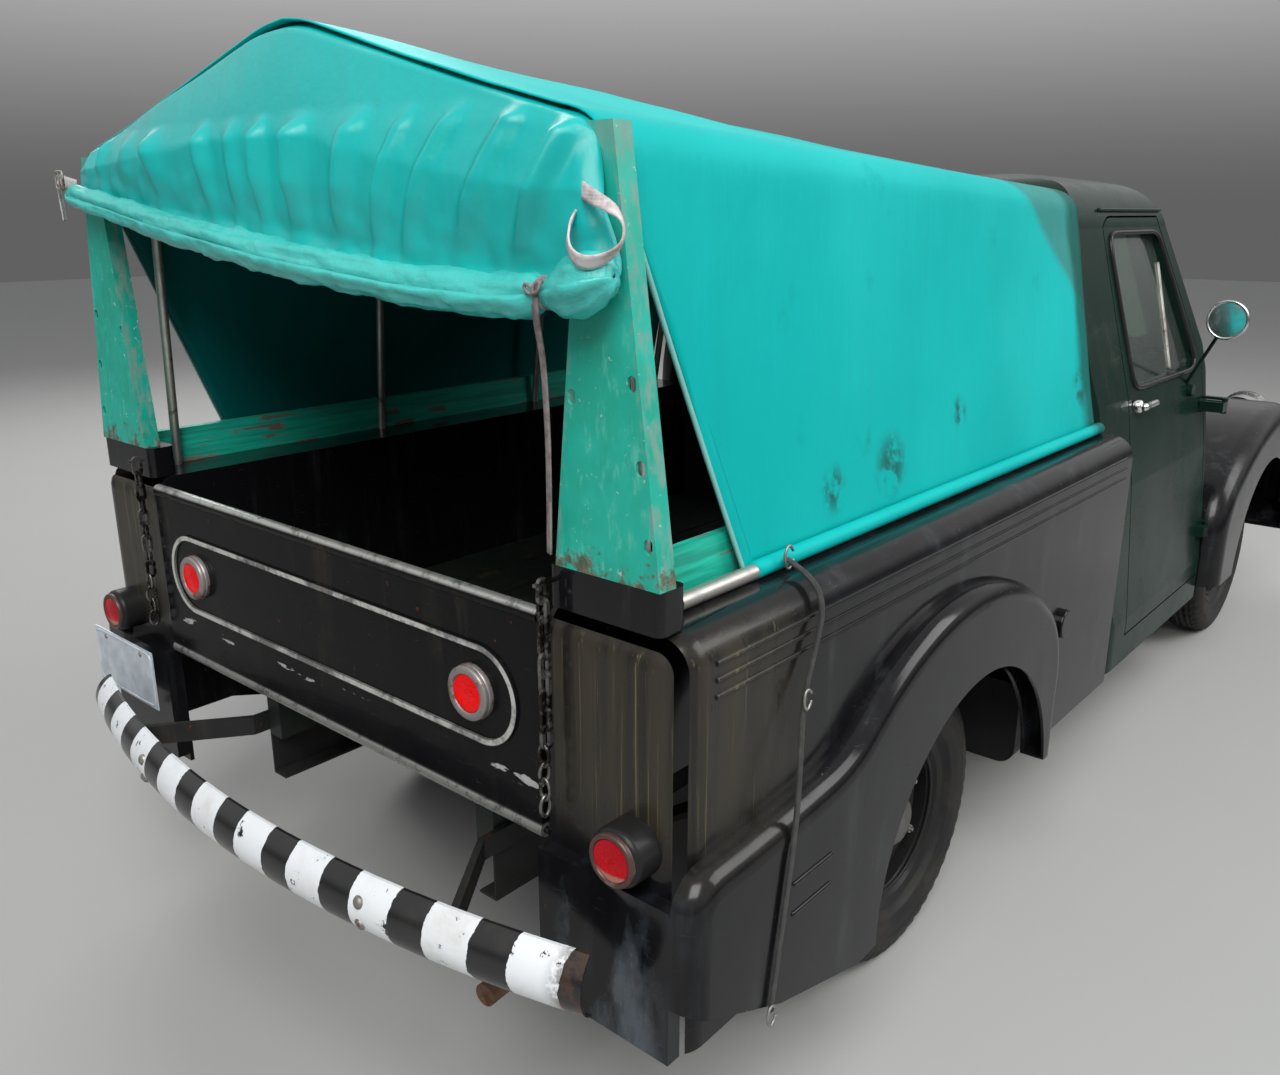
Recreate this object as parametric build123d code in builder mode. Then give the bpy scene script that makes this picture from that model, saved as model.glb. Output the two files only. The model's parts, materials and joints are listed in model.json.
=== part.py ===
from build123d import *
import os
from math import atan2, cos, degrees, radians, sin, tan

os.makedirs("parts", exist_ok=True)

# Frame: X forward, Y to the truck's left, Z up from the ground, origin at mid-length, in mm

# Wheelbase and overhangs, with the front axle a fixed distance ahead of the bed
bed_length = 2040
tail_to_axle = 1010
bed_to_front_axle = 1830
wheelbase = bed_length - tail_to_axle + bed_to_front_axle
rear_overhang = 1255
front_overhang = 770
overall_length = rear_overhang + wheelbase + front_overhang
rear_axle_x = rear_overhang - overall_length / 2
front_axle_x = rear_axle_x + wheelbase
tail_x = rear_axle_x - tail_to_axle

# Wheels and tyres
tyre_radius = 347
tyre_width = 165
rim_radius = 206
track = 1530
wheel_y = track / 2
axle_z = tyre_radius
arch_radius = 430

# Running and fitting clearances
seat_gap = 0.3
shut_gap = 6

# Ladder frame
rail_y = 380
rail_width = 50
rail_height = 110
rail_gauge = 5
rail_top_z = 530
rail_rear_x = tail_x + 100
rail_front_x = front_axle_x + 560
member_height = 60
member_width = 60

# Load bed with double-walled sides
bed_half_width = 945
bed_inner_y = 655
bed_front_x = tail_x + bed_length
body_rear_x = tail_x + 12
deck_z = 1140
floor_z = 725
floor_thick = 25
skirt_z = 400
body_wall = 10
shoulder_radius = 60
corner_radius = 60
cap_inner_y = bed_inner_y + 10
cap_outer_y = bed_half_width - 45
cap_depth = 64
cap_round = 16
cap_z = 1210

# Tailgate
gate_half_width = 645
gate_thick = 20
gate_roll_radius = 14
gate_hinge_z = 720
gate_top_z = 1115
gate_x = tail_x + 14
gate_pin_radius = 7

# Canvas tilt over the bed
tilt_rear_x = tail_x + 20
tilt_front_x = bed_front_x - 5
tilt_foot_y = bed_half_width - 114
tilt_foot_z = 1150
tilt_thick = 6
tilt_cut_x = tail_x + 324
board_thick = 25
board_height = 85
pole_radius = 14

# Cab
cab_gap = 25
cab_length = 1255
cab_back_x = bed_front_x + cab_gap
cab_front_x = cab_back_x + cab_length
cab_sill_z = 350
cab_half_width = 900
cab_wall = 28
door_rear_x = cab_back_x + 285
door_front_x = cab_front_x - 150
door_bottom_z = 440
door_top_z = 1735
waist_z = 1225
door_thick = 46
hinge_y = cab_half_width + 8
hinge_x = door_front_x + 2
hinge_pin_radius = 5
hinge_barrel_radius = 10
hinge_barrel_height = 36

# Front end
nose_bottom_z = 552
nose_top_z = 925
nose_wall = 8
front_fender_inner_y = 505
front_fender_outer_y = 965

# Running gear pins
kingpin_y = 645
kingpin_radius = 10
stub_radius = 20

# Steering wheel
column_y = 360
steering_wheel_radius = 205


def write(piece, name):
    piece.label = name
    export_step(piece, f"parts/{name}.step")


def both_sides(left_piece, name):
    write(left_piece, f"{name}_left")
    write(mirror(left_piece, about=Plane.XZ), f"{name}_right")


def pair(left_piece, name):
    write(Compound([left_piece, mirror(left_piece, about=Plane.XZ)]), name)


# Ladder frame: two channel rails open to the centre
rail_length = rail_front_x - rail_rear_x
with BuildPart() as rail:
    with BuildSketch(Plane.YZ.offset(rail_rear_x)):
        with Locations((rail_y, rail_top_z - rail_height / 2)):
            Rectangle(rail_width, rail_height)
        with Locations((rail_y - rail_gauge, rail_top_z - rail_height / 2)):
            Rectangle(rail_width, rail_height - 2 * rail_gauge, mode=Mode.SUBTRACT)
    extrude(amount=rail_length)
pair(rail.part, "frame")

# Cross-members that fill the rails' channels from web to web, under the top flanges
member_places = (0.05, 0.155, 0.38, 0.5, 0.66, 0.83, 0.98)
member_top_z = rail_top_z - rail_gauge
with BuildPart() as cross_members:
    with Locations(*[
        (rail_rear_x + share * rail_length, 0, member_top_z - member_height / 2)
        for share in member_places
    ]):
        Box(member_width, 2 * (rail_y + rail_width / 2 - rail_gauge), member_height)
write(cross_members.part, "cross_members")

# Semi-elliptic leaf springs, slung under the rear axle and over the front one
spring_half_length = 520
spring_width = 45
spring_leaf = 9
spring_count = 4
axle_tube_radius = 38
beam_height = 52
beam_drop = 60
beam_top_z = axle_z - beam_drop + beam_height / 2
spring_eye_z = rail_top_z - rail_height - spring_leaf
main_leaf_places = (
    (rear_axle_x, axle_z - axle_tube_radius - spring_leaf),
    (front_axle_x, beam_top_z + (spring_count - 1) * spring_leaf),
)
with BuildPart() as springs:
    for axle_x, main_leaf_z in main_leaf_places:
        with BuildSketch(Plane.XZ.offset(-rail_y - spring_width / 2)):
            for leaf in range(spring_count):
                reach = spring_half_length * (1 - 0.22 * leaf)
                seat = main_leaf_z - spring_leaf * leaf
                rise = (spring_eye_z - main_leaf_z) * (reach / spring_half_length) ** 2
                with BuildLine():
                    low = ThreePointArc(
                        (axle_x - reach, seat + rise), (axle_x, seat), (axle_x + reach, seat + rise)
                    )
                    high = ThreePointArc(
                        (axle_x - reach, seat + rise + spring_leaf),
                        (axle_x, seat + spring_leaf),
                        (axle_x + reach, seat + rise + spring_leaf),
                    )
                    Line(low @ 0, high @ 0)
                    Line(low @ 1, high @ 1)
                make_face()
        extrude(amount=spring_width)
    mirror(about=Plane.XZ)
write(springs.part, "springs")

# Rear axle: tapered tube, banjo housing and wheel stubs
banjo_radius = 135
stub_reach = wheel_y + 45
drum_face_y = wheel_y - 70
with BuildPart() as rear_axle:
    with Locations((rear_axle_x, 0, axle_z)):
        Sphere(banjo_radius)
        Cylinder(axle_tube_radius, 2 * drum_face_y, rotation=(90, 0, 0))
        Cylinder(stub_radius, 2 * stub_reach, rotation=(90, 0, 0))
write(rear_axle.part, "rear_axle")

# Front axle: dropped beam with an upright eye at each end for the kingpin
eye_radius = 24
eye_height = 64
with BuildPart() as front_axle:
    with BuildSketch(Plane.YZ.offset(front_axle_x - 25)):
        with BuildLine():
            Polyline(
                (0, beam_top_z - beam_height),
                (rail_y + 40, beam_top_z - beam_height),
                (kingpin_y - 10, axle_z - beam_height / 2),
                (kingpin_y - 10, axle_z + beam_height / 2),
                (rail_y + 40, beam_top_z),
                (0, beam_top_z),
                close=True,
            )
        make_face()
    extrude(amount=50)
    mirror(about=Plane.XZ)
    with Locations((front_axle_x, kingpin_y, axle_z), (front_axle_x, -kingpin_y, axle_z)):
        Cylinder(eye_radius, eye_height)
        Cylinder(kingpin_radius + seat_gap, eye_height, mode=Mode.SUBTRACT)
write(front_axle.part, "front_axle")

# Steering knuckles: a fork round the axle's eye, the kingpin and the wheel's stub
fork_thick = 16
fork_round = 22
fork_reach = 53
web_depth = 24
web_y = kingpin_y + fork_reach - web_depth / 2
with BuildPart() as knuckle:
    with Locations((front_axle_x, kingpin_y, axle_z)):
        Cylinder(kingpin_radius, eye_height + 2 * fork_thick)
    for base in (-eye_height / 2 - seat_gap - fork_thick, eye_height / 2 + seat_gap):
        with BuildSketch(Plane.XY.offset(axle_z + base)):
            with Locations((front_axle_x, kingpin_y)):
                Circle(fork_round)
            with Locations((front_axle_x, kingpin_y + fork_reach / 2)):
                Rectangle(2 * fork_round, fork_reach)
        extrude(amount=fork_thick)
    with Locations((front_axle_x, web_y, axle_z)):
        Box(2 * fork_round, web_depth, eye_height + 2 * seat_gap + fork_thick)
    with Locations((front_axle_x, (web_y + stub_reach) / 2, axle_z)):
        Cylinder(stub_radius, stub_reach - web_y, rotation=(90, 0, 0))
both_sides(knuckle.part, "knuckle")

# Wheels: pressed disc with a domed centre and a drop-centre rim, turned about the axle line
rim_width = 118
rim_gauge = 7
drum_radius = 140
disc_offset = 22


def wheel_at(x, side):
    with BuildPart() as wheel:
        with BuildSketch(Plane.XY):
            with BuildLine():
                Polyline(
                    (stub_radius + seat_gap, wheel_y - 62),
                    (drum_radius, wheel_y - 62),
                    (drum_radius, wheel_y - 12),
                    (rim_radius - 28, wheel_y - 12),
                    (rim_radius - 28, wheel_y - 40),
                    (rim_radius - 8, wheel_y - rim_width / 2 + 6),
                    (rim_radius + 8, wheel_y - rim_width / 2),
                    (rim_radius + 8, wheel_y - rim_width / 2 + rim_gauge),
                    (rim_radius, wheel_y - rim_width / 2 + 2 * rim_gauge),
                    (rim_radius - 20, wheel_y - 30),
                    (rim_radius - 20, wheel_y + 30),
                    (rim_radius, wheel_y + rim_width / 2 - 2 * rim_gauge),
                    (rim_radius + 8, wheel_y + rim_width / 2 - rim_gauge),
                    (rim_radius + 8, wheel_y + rim_width / 2),
                    (rim_radius - 8, wheel_y + rim_width / 2 - 6),
                    (rim_radius - 28, wheel_y + 34),
                    (rim_radius - 28, wheel_y + 2),
                    (132, wheel_y + 2 + disc_offset),
                    (96, wheel_y + 10 + disc_offset),
                    (80, wheel_y + disc_offset),
                    (42, wheel_y + disc_offset),
                    (38, wheel_y + 36 + disc_offset),
                    (0, wheel_y + 36 + disc_offset),
                    (0, stub_reach + seat_gap),
                    (stub_radius + seat_gap, stub_reach + seat_gap),
                    close=True,
                )
            make_face()
        revolve(axis=Axis.Y)
    placed = Pos(x, 0, axle_z) * wheel.part
    return placed if side > 0 else mirror(placed, about=Plane.XZ)


def tyre_at(x, side):
    half = tyre_width / 2
    bead = rim_width / 2 - rim_gauge - seat_gap
    with BuildPart() as tyre:
        with BuildSketch(Plane.XY):
            with BuildLine():
                foot = Polyline(
                    (rim_radius + seat_gap, wheel_y - bead + rim_gauge),
                    (rim_radius + 10, wheel_y - bead),
                    (rim_radius + 22, wheel_y - bead - 6),
                )
                wall = ThreePointArc(
                    foot @ 1, (rim_radius + 72, wheel_y - half), (tyre_radius - 22, wheel_y - half + 14)
                )
                edge = ThreePointArc(
                    wall @ 1, (tyre_radius - 7, wheel_y - half + 24), (tyre_radius - 3, wheel_y - half + 36)
                )
                tread = ThreePointArc(
                    edge @ 1, (tyre_radius, wheel_y), (tyre_radius - 3, wheel_y + half - 36)
                )
                edge_out = ThreePointArc(
                    tread @ 1, (tyre_radius - 7, wheel_y + half - 24), (tyre_radius - 22, wheel_y + half - 14)
                )
                wall_out = ThreePointArc(
                    edge_out @ 1, (rim_radius + 72, wheel_y + half), (rim_radius + 22, wheel_y + bead + 6)
                )
                Polyline(
                    wall_out @ 1,
                    (rim_radius + 10, wheel_y + bead),
                    (rim_radius + seat_gap, wheel_y + bead - rim_gauge),
                    (rim_radius + seat_gap, wheel_y - bead + rim_gauge),
                )
            make_face()
        revolve(axis=Axis.Y)
    placed = Pos(x, 0, axle_z) * tyre.part
    return placed if side > 0 else mirror(placed, about=Plane.XZ)


for end, x in (("front", front_axle_x), ("rear", rear_axle_x)):
    for hand, side in (("left", 1), ("right", -1)):
        write(wheel_at(x, side), f"wheel_{end}_{hand}")
        write(tyre_at(x, side), f"tyre_{end}_{hand}")

# Engine as one plain block, with the bell housing ahead of the cab and the gearbox under its floor
engine_rear_x = cab_front_x + 60
engine_length = 640
engine_half_width = 230
engine_height = 360
gearbox_half_width = 110
gearbox_base_z = 285
shaft_front_x = cab_front_x - 420
gearbox_top_z = member_top_z - member_height - seat_gap
with BuildPart() as engine:
    with Locations((engine_rear_x + engine_length / 2, 0, member_top_z)):
        Box(
            engine_length, 2 * engine_half_width, engine_height,
            align=(Align.CENTER, Align.CENTER, Align.MIN),
        )
    with Locations((engine_rear_x, 0, gearbox_base_z)):
        Box(
            engine_rear_x - cab_front_x - shut_gap, 2 * engine_half_width - 60, 420,
            align=(Align.MAX, Align.CENTER, Align.MIN),
        )
        Box(
            engine_rear_x - shaft_front_x - seat_gap, 2 * gearbox_half_width,
            gearbox_top_z - gearbox_base_z, align=(Align.MAX, Align.CENTER, Align.MIN),
        )
write(engine.part, "engine")

# Propeller shaft from the gearbox back to the axle
shaft_radius = 32
with BuildPart() as drive_shaft:
    with Locations((
        (rear_axle_x + banjo_radius + seat_gap + shaft_front_x) / 2, 0, axle_z,
    )):
        Cylinder(
            shaft_radius,
            shaft_front_x - rear_axle_x - banjo_radius - seat_gap,
            rotation=(0, 90, 0),
        )
write(drive_shaft.part, "drive_shaft")

# Exhaust: pipe under the cross-members, silencer, and tail pipe out under the right rail
pipe_radius = 22
pipe_z = member_top_z - member_height - pipe_radius - seat_gap
pipe_low_z = rail_top_z - rail_height - pipe_radius - 14
with BuildPart() as exhaust:
    with BuildLine() as route:
        FilletPolyline(
            (cab_front_x + 20, -250, pipe_z),
            (tail_x + 640, -250, pipe_z),
            (tail_x + 430, -290, pipe_low_z),
            (tail_x + 160, -540, pipe_low_z),
            (tail_x - 70, -560, pipe_low_z),
            radius=90,
        )
    with BuildSketch(Plane(origin=route.line @ 0, z_dir=route.line % 0)):
        Circle(pipe_radius)
    sweep()
    with Locations((cab_front_x - 700, -250, pipe_z - 56)):
        Cylinder(72, 560, rotation=(0, 90, 0))
write(exhaust.part, "exhaust")

# Fuel tank outside the right rail, ahead of the rear wheel
tank_rear_x = bed_front_x - 480
tank_length = 430
tank_depth = 240
tank_inner_y = rail_y + rail_width / 2
tank_width = 470
with BuildPart() as fuel_tank:
    with BuildSketch(Plane.YZ.offset(tank_rear_x)):
        with Locations((-tank_inner_y - tank_width / 2, rail_top_z - tank_depth / 2)):
            RectangleRounded(tank_width, tank_depth, 50)
    extrude(amount=tank_length)
write(fuel_tank.part, "fuel_tank")

# Bed floor: planks on sills and cross-bearers that stand on the rails
bearer_height = 45
bearer_top_z = floor_z - floor_thick
floor_front_x = bed_front_x - body_wall
floor_rear_x = gate_x + gate_thick + shut_gap
floor_length = floor_front_x - floor_rear_x
skid_count = 7
skid_pitch = 2 * bed_inner_y / (skid_count + 1)
with BuildPart() as bed_floor:
    with Locations(((floor_rear_x + floor_front_x) / 2, 0, bearer_top_z)):
        Box(floor_length, 2 * bed_inner_y, floor_thick, align=(Align.CENTER, Align.CENTER, Align.MIN))
    with Locations(((floor_rear_x + floor_front_x) / 2, 0, floor_z)):
        with GridLocations(0, skid_pitch, 1, skid_count):
            Box(floor_length, 34, 4, align=(Align.CENTER, Align.CENTER, Align.MIN))
    with Locations(*[
        (floor_rear_x + floor_length * share, 0, bearer_top_z)
        for share in (0.04, 0.27, 0.5, 0.73, 0.96)
    ]):
        Box(70, 2 * bed_inner_y, bearer_height, align=(Align.CENTER, Align.CENTER, Align.MAX))
    with Locations(
        ((floor_rear_x + 60 + floor_front_x) / 2, rail_y, rail_top_z),
        ((floor_rear_x + 60 + floor_front_x) / 2, -rail_y, rail_top_z),
    ):
        Box(
            floor_length - 60, rail_width, bearer_top_z - bearer_height - rail_top_z,
            align=(Align.CENTER, Align.CENTER, Align.MIN),
        )
write(bed_floor.part, "bed_floor")

# Front wall of the bed
with BuildPart() as bed_front_wall:
    with Locations(((bed_front_x - body_wall / 2), 0, bearer_top_z)):
        Box(
            body_wall, 2 * bed_inner_y, deck_z - bearer_top_z,
            align=(Align.CENTER, Align.CENTER, Align.MIN),
        )
write(bed_front_wall.part, "bed_front_wall")

# Double-walled bed side: rounded shoulder, three pressed lines, corner cap and gate pin
bead_levels = (1088, 1060, 1032)
bead_radius = 5


def side_section(inset):
    with BuildLine() as outline:
        outer = bed_half_width - inset
        top = deck_z - inset
        radius = shoulder_radius - inset
        Polyline(
            (outer, skirt_z), (bed_inner_y + inset, skirt_z), (bed_inner_y + inset, top), (outer - radius, top)
        )
        RadiusArc((outer - radius, top), (outer, top - radius), radius)
        Line((outer, top - radius), (outer, skirt_z))
    return outline.line


with BuildPart() as bed_side:
    with BuildSketch(Plane.YZ.offset(body_rear_x)):
        with BuildLine():
            add(side_section(0))
        make_face()
    extrude(amount=bed_front_x - body_rear_x)
    corner = bed_side.edges().filter_by(Axis.Z).group_by(Axis.X)[0].sort_by(Axis.Y)[-1]
    fillet(corner, corner_radius)
    with BuildSketch(Plane.YZ.offset(body_rear_x + body_wall)):
        with BuildLine():
            add(side_section(body_wall))
        make_face()
    extrude(amount=bed_front_x - body_rear_x - 2 * body_wall, mode=Mode.SUBTRACT)
    with Locations(((body_rear_x + bed_front_x) / 2, bed_inner_y, bearer_top_z)):
        Box(
            bed_front_x - body_rear_x - 2 * body_wall, 4 * body_wall, 2 * (bearer_top_z - skirt_z),
            align=(Align.CENTER, Align.CENTER, Align.MAX), mode=Mode.SUBTRACT,
        )
    with Locations((rear_axle_x, bed_half_width, axle_z)):
        Cylinder(arch_radius, 200, rotation=(90, 0, 0), mode=Mode.SUBTRACT)
    with BuildSketch(Plane.YZ.offset(body_rear_x + 80)):
        with Locations(*[(bed_half_width - 1, level) for level in bead_levels]):
            Circle(bead_radius)
    extrude(amount=bed_front_x - body_rear_x - 130)
    with BuildSketch(Plane.XY.offset(deck_z - 1)):
        with Locations((body_rear_x + cap_depth / 2, (cap_inner_y + cap_outer_y) / 2)):
            RectangleRounded(cap_depth, cap_outer_y - cap_inner_y, cap_round)
    extrude(amount=cap_z - deck_z + 1)
    with Locations((gate_x, bed_inner_y, gate_hinge_z)):
        Cylinder(
            gate_pin_radius, 30, rotation=(90, 0, 0), align=(Align.CENTER, Align.CENTER, Align.MIN)
        )
write(bed_side.part, "bed_side_left")

# The right side also carries the fuel filler's collar and cap
filler_x = tank_rear_x + 40
filler_z = 715
filler_radius = 38
with BuildPart() as bed_side_right:
    mirror(bed_side.part, about=Plane.XZ)
    with Locations((filler_x, -bed_half_width + 2, filler_z)):
        Cylinder(filler_radius, 20, rotation=(90, 0, 0), align=(Align.CENTER, Align.CENTER, Align.MIN))
    fillet(bed_side_right.faces().sort_by(Axis.Y)[0].edges(), 5)
write(bed_side_right.part, "bed_side_right")

# Tailgate: rolled top, hinge tube along the foot, and a long pressed frame on its face
frame_ring = 12
frame_length = 1190
frame_height = 190
frame_z = 936
with BuildPart() as tailgate:
    with BuildSketch(Plane.XZ.offset(-gate_half_width)):
        with Locations((gate_x, (gate_hinge_z + gate_top_z) / 2)):
            Rectangle(gate_thick, gate_top_z - gate_hinge_z)
        with Locations((gate_x, gate_hinge_z), (gate_x, gate_top_z)):
            Circle(gate_roll_radius)
    extrude(amount=2 * gate_half_width)
    with BuildSketch(Plane.YZ.offset(gate_x - gate_thick / 2)):
        with Locations((0, frame_z)):
            SlotOverall(frame_length, frame_height)
            SlotOverall(frame_length - 2 * frame_ring, frame_height - 2 * frame_ring, mode=Mode.SUBTRACT)
    extrude(amount=-5)
    with Locations((gate_x, 0, gate_hinge_z)):
        Cylinder(
            gate_pin_radius + seat_gap, 2 * gate_half_width, rotation=(90, 0, 0), mode=Mode.SUBTRACT
        )
write(tailgate.part, "tailgate")

# Round reflectors on the tailgate
reflector_y = 481
reflector_radius = 52
with BuildPart() as reflector:
    with BuildSketch(Plane.YZ.offset(gate_x - gate_thick / 2)):
        with Locations((reflector_y, frame_z)):
            Circle(reflector_radius)
    extrude(amount=-12)
    fillet(reflector.faces().sort_by(Axis.X)[0].edges(), 7)
pair(reflector.part, "reflectors")

# Chains that hang from the corner caps beside the tailgate
link_length = 46
link_wire = 7
link_inner = 10
link_count = 9
link_pitch = link_length - 2 * link_wire - seat_gap
chain_y = 680
chain_x = body_rear_x - 26
chain_top_z = 1172
with BuildPart() as chain:
    for link in range(link_count):
        facing = Plane.YZ if link % 2 else Plane.XZ
        with BuildSketch(Plane(
            origin=(chain_x, chain_y, chain_top_z - link * link_pitch),
            x_dir=(0, 0, 1),
            z_dir=facing.z_dir,
        )):
            SlotOverall(link_length, link_inner + 2 * link_wire)
            SlotOverall(link_length - 2 * link_wire, link_inner, mode=Mode.SUBTRACT)
        extrude(amount=link_wire / 2, both=True)
    with Locations((body_rear_x, chain_y, chain_top_z + link_length / 2 - link_wire - seat_gap - 3)):
        Box(44, 7, 6, align=(Align.MAX, Align.CENTER, Align.CENTER))
pair(chain.part, "chains")

# Rear bumper: pressed bar, bowed in plan, with a rounded face
bumper_bow = 125
bumper_half_width = 850
bumper_height = 118
bumper_depth = 36
bumper_gauge = 6
bumper_z = 560


def bowed_bumper(tip_x, half_width, bow, height, centre_z, facing, gauge, beyond=0):
    radius = (half_width ** 2 + bow ** 2) / (2 * bow)
    half_angle = degrees(atan2(half_width, radius - bow))
    centre_x = tip_x - facing * radius
    start = 180 if facing < 0 else 0
    with BuildPart() as bar:
        section_plane = Plane(
            origin=(centre_x, 0, centre_z),
            x_dir=(cos(radians(start - half_angle)), sin(radians(start - half_angle)), 0),
            z_dir=(sin(radians(start - half_angle)), -cos(radians(start - half_angle)), 0),
        )
        with BuildSketch(section_plane):
            with BuildLine():
                back = ThreePointArc(
                    (radius - bumper_depth - gauge, height / 2),
                    (radius - gauge, 0),
                    (radius - bumper_depth - gauge, -height / 2),
                )
                if beyond:
                    face = Line((radius + beyond, -height / 2), (radius + beyond, height / 2))
                else:
                    face = ThreePointArc(
                        (radius - bumper_depth, -height / 2), (radius, 0), (radius - bumper_depth, height / 2)
                    )
                Line(back @ 1, face @ 0)
                Line(face @ 1, back @ 0)
            make_face()
        revolve(axis=Axis((centre_x, 0, centre_z), (0, 0, 1)), revolution_arc=2 * half_angle)
    return bar.part


rear_bumper_shape = (-overall_length / 2, bumper_half_width, bumper_bow, bumper_height, bumper_z, -1)
front_bumper_shape = (overall_length / 2, 870, 110, bumper_height, 470, 1)
plate_hole_pitch = 178
plate_hole_radius = 4
write(bowed_bumper(*rear_bumper_shape, bumper_gauge), "rear_bumper")
with BuildPart() as front_bumper:
    add(bowed_bumper(*front_bumper_shape, bumper_gauge))
    with Locations((overall_length / 2, 0, front_bumper_shape[4])):
        with Locations((0, plate_hole_pitch / 2, 0), (0, -plate_hole_pitch / 2, 0)):
            Cylinder(plate_hole_radius, 60, rotation=(0, 90, 0), mode=Mode.SUBTRACT)
write(front_bumper.part, "front_bumper")

# Arms on the rails' outer faces, bent out to the bumpers and ending against them
arm_thick = 12
arm_height = 46
arm_bumper_y = 560
arm_root_y = rail_y + rail_width / 2
arm_ends = (
    # frame end, outward direction, bend, bumper's inside, bumper
    (rail_rear_x, -1, 40, tail_x - 150, rear_bumper_shape),
    (rail_front_x, 1, 20, overall_length / 2 - 72, front_bumper_shape),
)
with BuildPart() as bumper_arms:
    for rail_end, outward, bend, bumper_x, shape in arm_ends:
        with BuildSketch(Plane.XY.offset(shape[4] - arm_height / 2)):
            with BuildLine():
                Polyline(
                    (rail_end - outward * 60, arm_root_y),
                    (rail_end + outward * bend, arm_root_y),
                    (bumper_x, arm_bumper_y),
                    (bumper_x + outward * 60, arm_bumper_y),
                    (bumper_x + outward * 60, arm_bumper_y + arm_thick),
                    (bumper_x - outward * 10, arm_bumper_y + arm_thick),
                    (rail_end + outward * (bend - 6), arm_root_y + arm_thick),
                    (rail_end - outward * 60, arm_root_y + arm_thick),
                    close=True,
                )
            make_face()
        extrude(amount=arm_height)
        add(bowed_bumper(*shape, bumper_gauge + seat_gap, beyond=100), mode=Mode.SUBTRACT)
pair(bumper_arms.part, "bumper_arms")

# Cab: the crossing of three profiles, hollowed, with its windows and door openings cut


def side_profile(inset):
    back = cab_back_x + inset
    front = cab_front_x - inset
    base = cab_sill_z + inset
    with BuildSketch(Plane.XZ) as profile:
        with BuildLine():
            Line((back, base), (back, 1180))
            Line((back, 1180), (cab_back_x + 60 + inset, 1600))
            rear_bow = ThreePointArc(
                (cab_back_x + 60 + inset, 1600),
                (cab_back_x + 135 + 0.7 * inset, 1775 - 0.7 * inset),
                (cab_back_x + 330, 1852 - inset),
            )
            roof = ThreePointArc(
                rear_bow @ 1, (cab_back_x + 560, 1868 - inset), (cab_back_x + 790, 1838 - inset)
            )
            brow = ThreePointArc(
                roof @ 1,
                (cab_back_x + 880 - 0.6 * inset, 1800 - 0.8 * inset),
                (cab_back_x + 945 - inset, 1725 - 0.5 * inset),
            )
            Line(brow @ 1, (cab_back_x + 1175 - inset, 1270 - 0.5 * inset))
            Line((cab_back_x + 1175 - inset, 1270 - 0.5 * inset), (front, 1235 - inset))
            Line((front, 1235 - inset), (front, base))
            Line((front, base), (back, base))
        make_face()
    return profile.sketch


def front_profile(inset):
    base = cab_sill_z + inset
    with BuildSketch(Plane.YZ) as profile:
        with BuildLine():
            flank = Polyline(
                (cab_half_width - inset, base),
                (cab_half_width - inset, 500),
                (862 - inset, 930),
                (818 - inset, 1200),
                (672 - inset, 1700),
            )
            eave = ThreePointArc(
                flank @ 1, (625 - 0.8 * inset, 1790 - 0.7 * inset), (520 - 0.3 * inset, 1840 - inset)
            )
            ThreePointArc(eave @ 1, (0, 1886 - inset), (-520 + 0.3 * inset, 1840 - inset))
            ThreePointArc(
                (-520 + 0.3 * inset, 1840 - inset), (-625 + 0.8 * inset, 1790 - 0.7 * inset),
                (-672 + inset, 1700),
            )
            Polyline(
                (-672 + inset, 1700),
                (-818 + inset, 1200),
                (-862 + inset, 930),
                (-cab_half_width + inset, 500),
                (-cab_half_width + inset, base),
                (cab_half_width - inset, base),
            )
        make_face()
    return profile.sketch


def plan_profile(inset):
    back = cab_back_x + inset
    front = cab_front_x - inset
    half = cab_half_width - inset
    round_back = 190 - inset
    cowl_half = 600 - inset
    with BuildSketch(Plane.XY) as profile:
        with BuildLine():
            for side in (1, -1):
                Line((back, 0), (back, side * (half - round_back)))
                ThreePointArc(
                    (back, side * (half - round_back)),
                    (back + 0.293 * round_back, side * (half - 0.293 * round_back)),
                    (back + round_back, side * half),
                )
                Line((back + round_back, side * half), (door_front_x + 6, side * half))
                ThreePointArc(
                    (door_front_x + 6, side * half),
                    (front - 40, side * (cowl_half + 90)),
                    (front, side * cowl_half),
                )
                Line((front, side * cowl_half), (front, 0))
        make_face()
    return profile.sketch


def cab_form(inset):
    with BuildPart() as form:
        extrude(side_profile(inset), amount=1000, both=True)
        extrude(front_profile(inset), amount=5000, both=True, mode=Mode.INTERSECT)
        extrude(plan_profile(inset), amount=2500, mode=Mode.INTERSECT)
    return form.part


def door_prism(inset):
    with BuildPart() as prism:
        with BuildSketch(Plane.XZ):
            with BuildLine():
                rear = door_rear_x + inset
                front = door_front_x - inset
                Line((rear, door_bottom_z + inset), (rear, door_top_z - 110))
                ThreePointArc(
                    (rear, door_top_z - 110), (rear + 34, door_top_z - 34 - inset / 2),
                    (rear + 115, door_top_z - inset),
                )
                Line((rear + 115, door_top_z - inset), (cab_back_x + 870 - inset, door_top_z - inset))
                Line(
                    (cab_back_x + 870 - inset, door_top_z - inset), (front, 1240 + inset),
                )
                Line((front, 1240 + inset), (front, door_bottom_z + inset))
                Line((front, door_bottom_z + inset), (rear, door_bottom_z + inset))
            make_face()
        extrude(amount=-1000)
        with Locations((hinge_x, hinge_y, door_top_z / 2)):
            Cylinder(hinge_x - door_rear_x - inset, 2 * door_top_z, mode=Mode.INTERSECT)
    return prism.part


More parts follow.
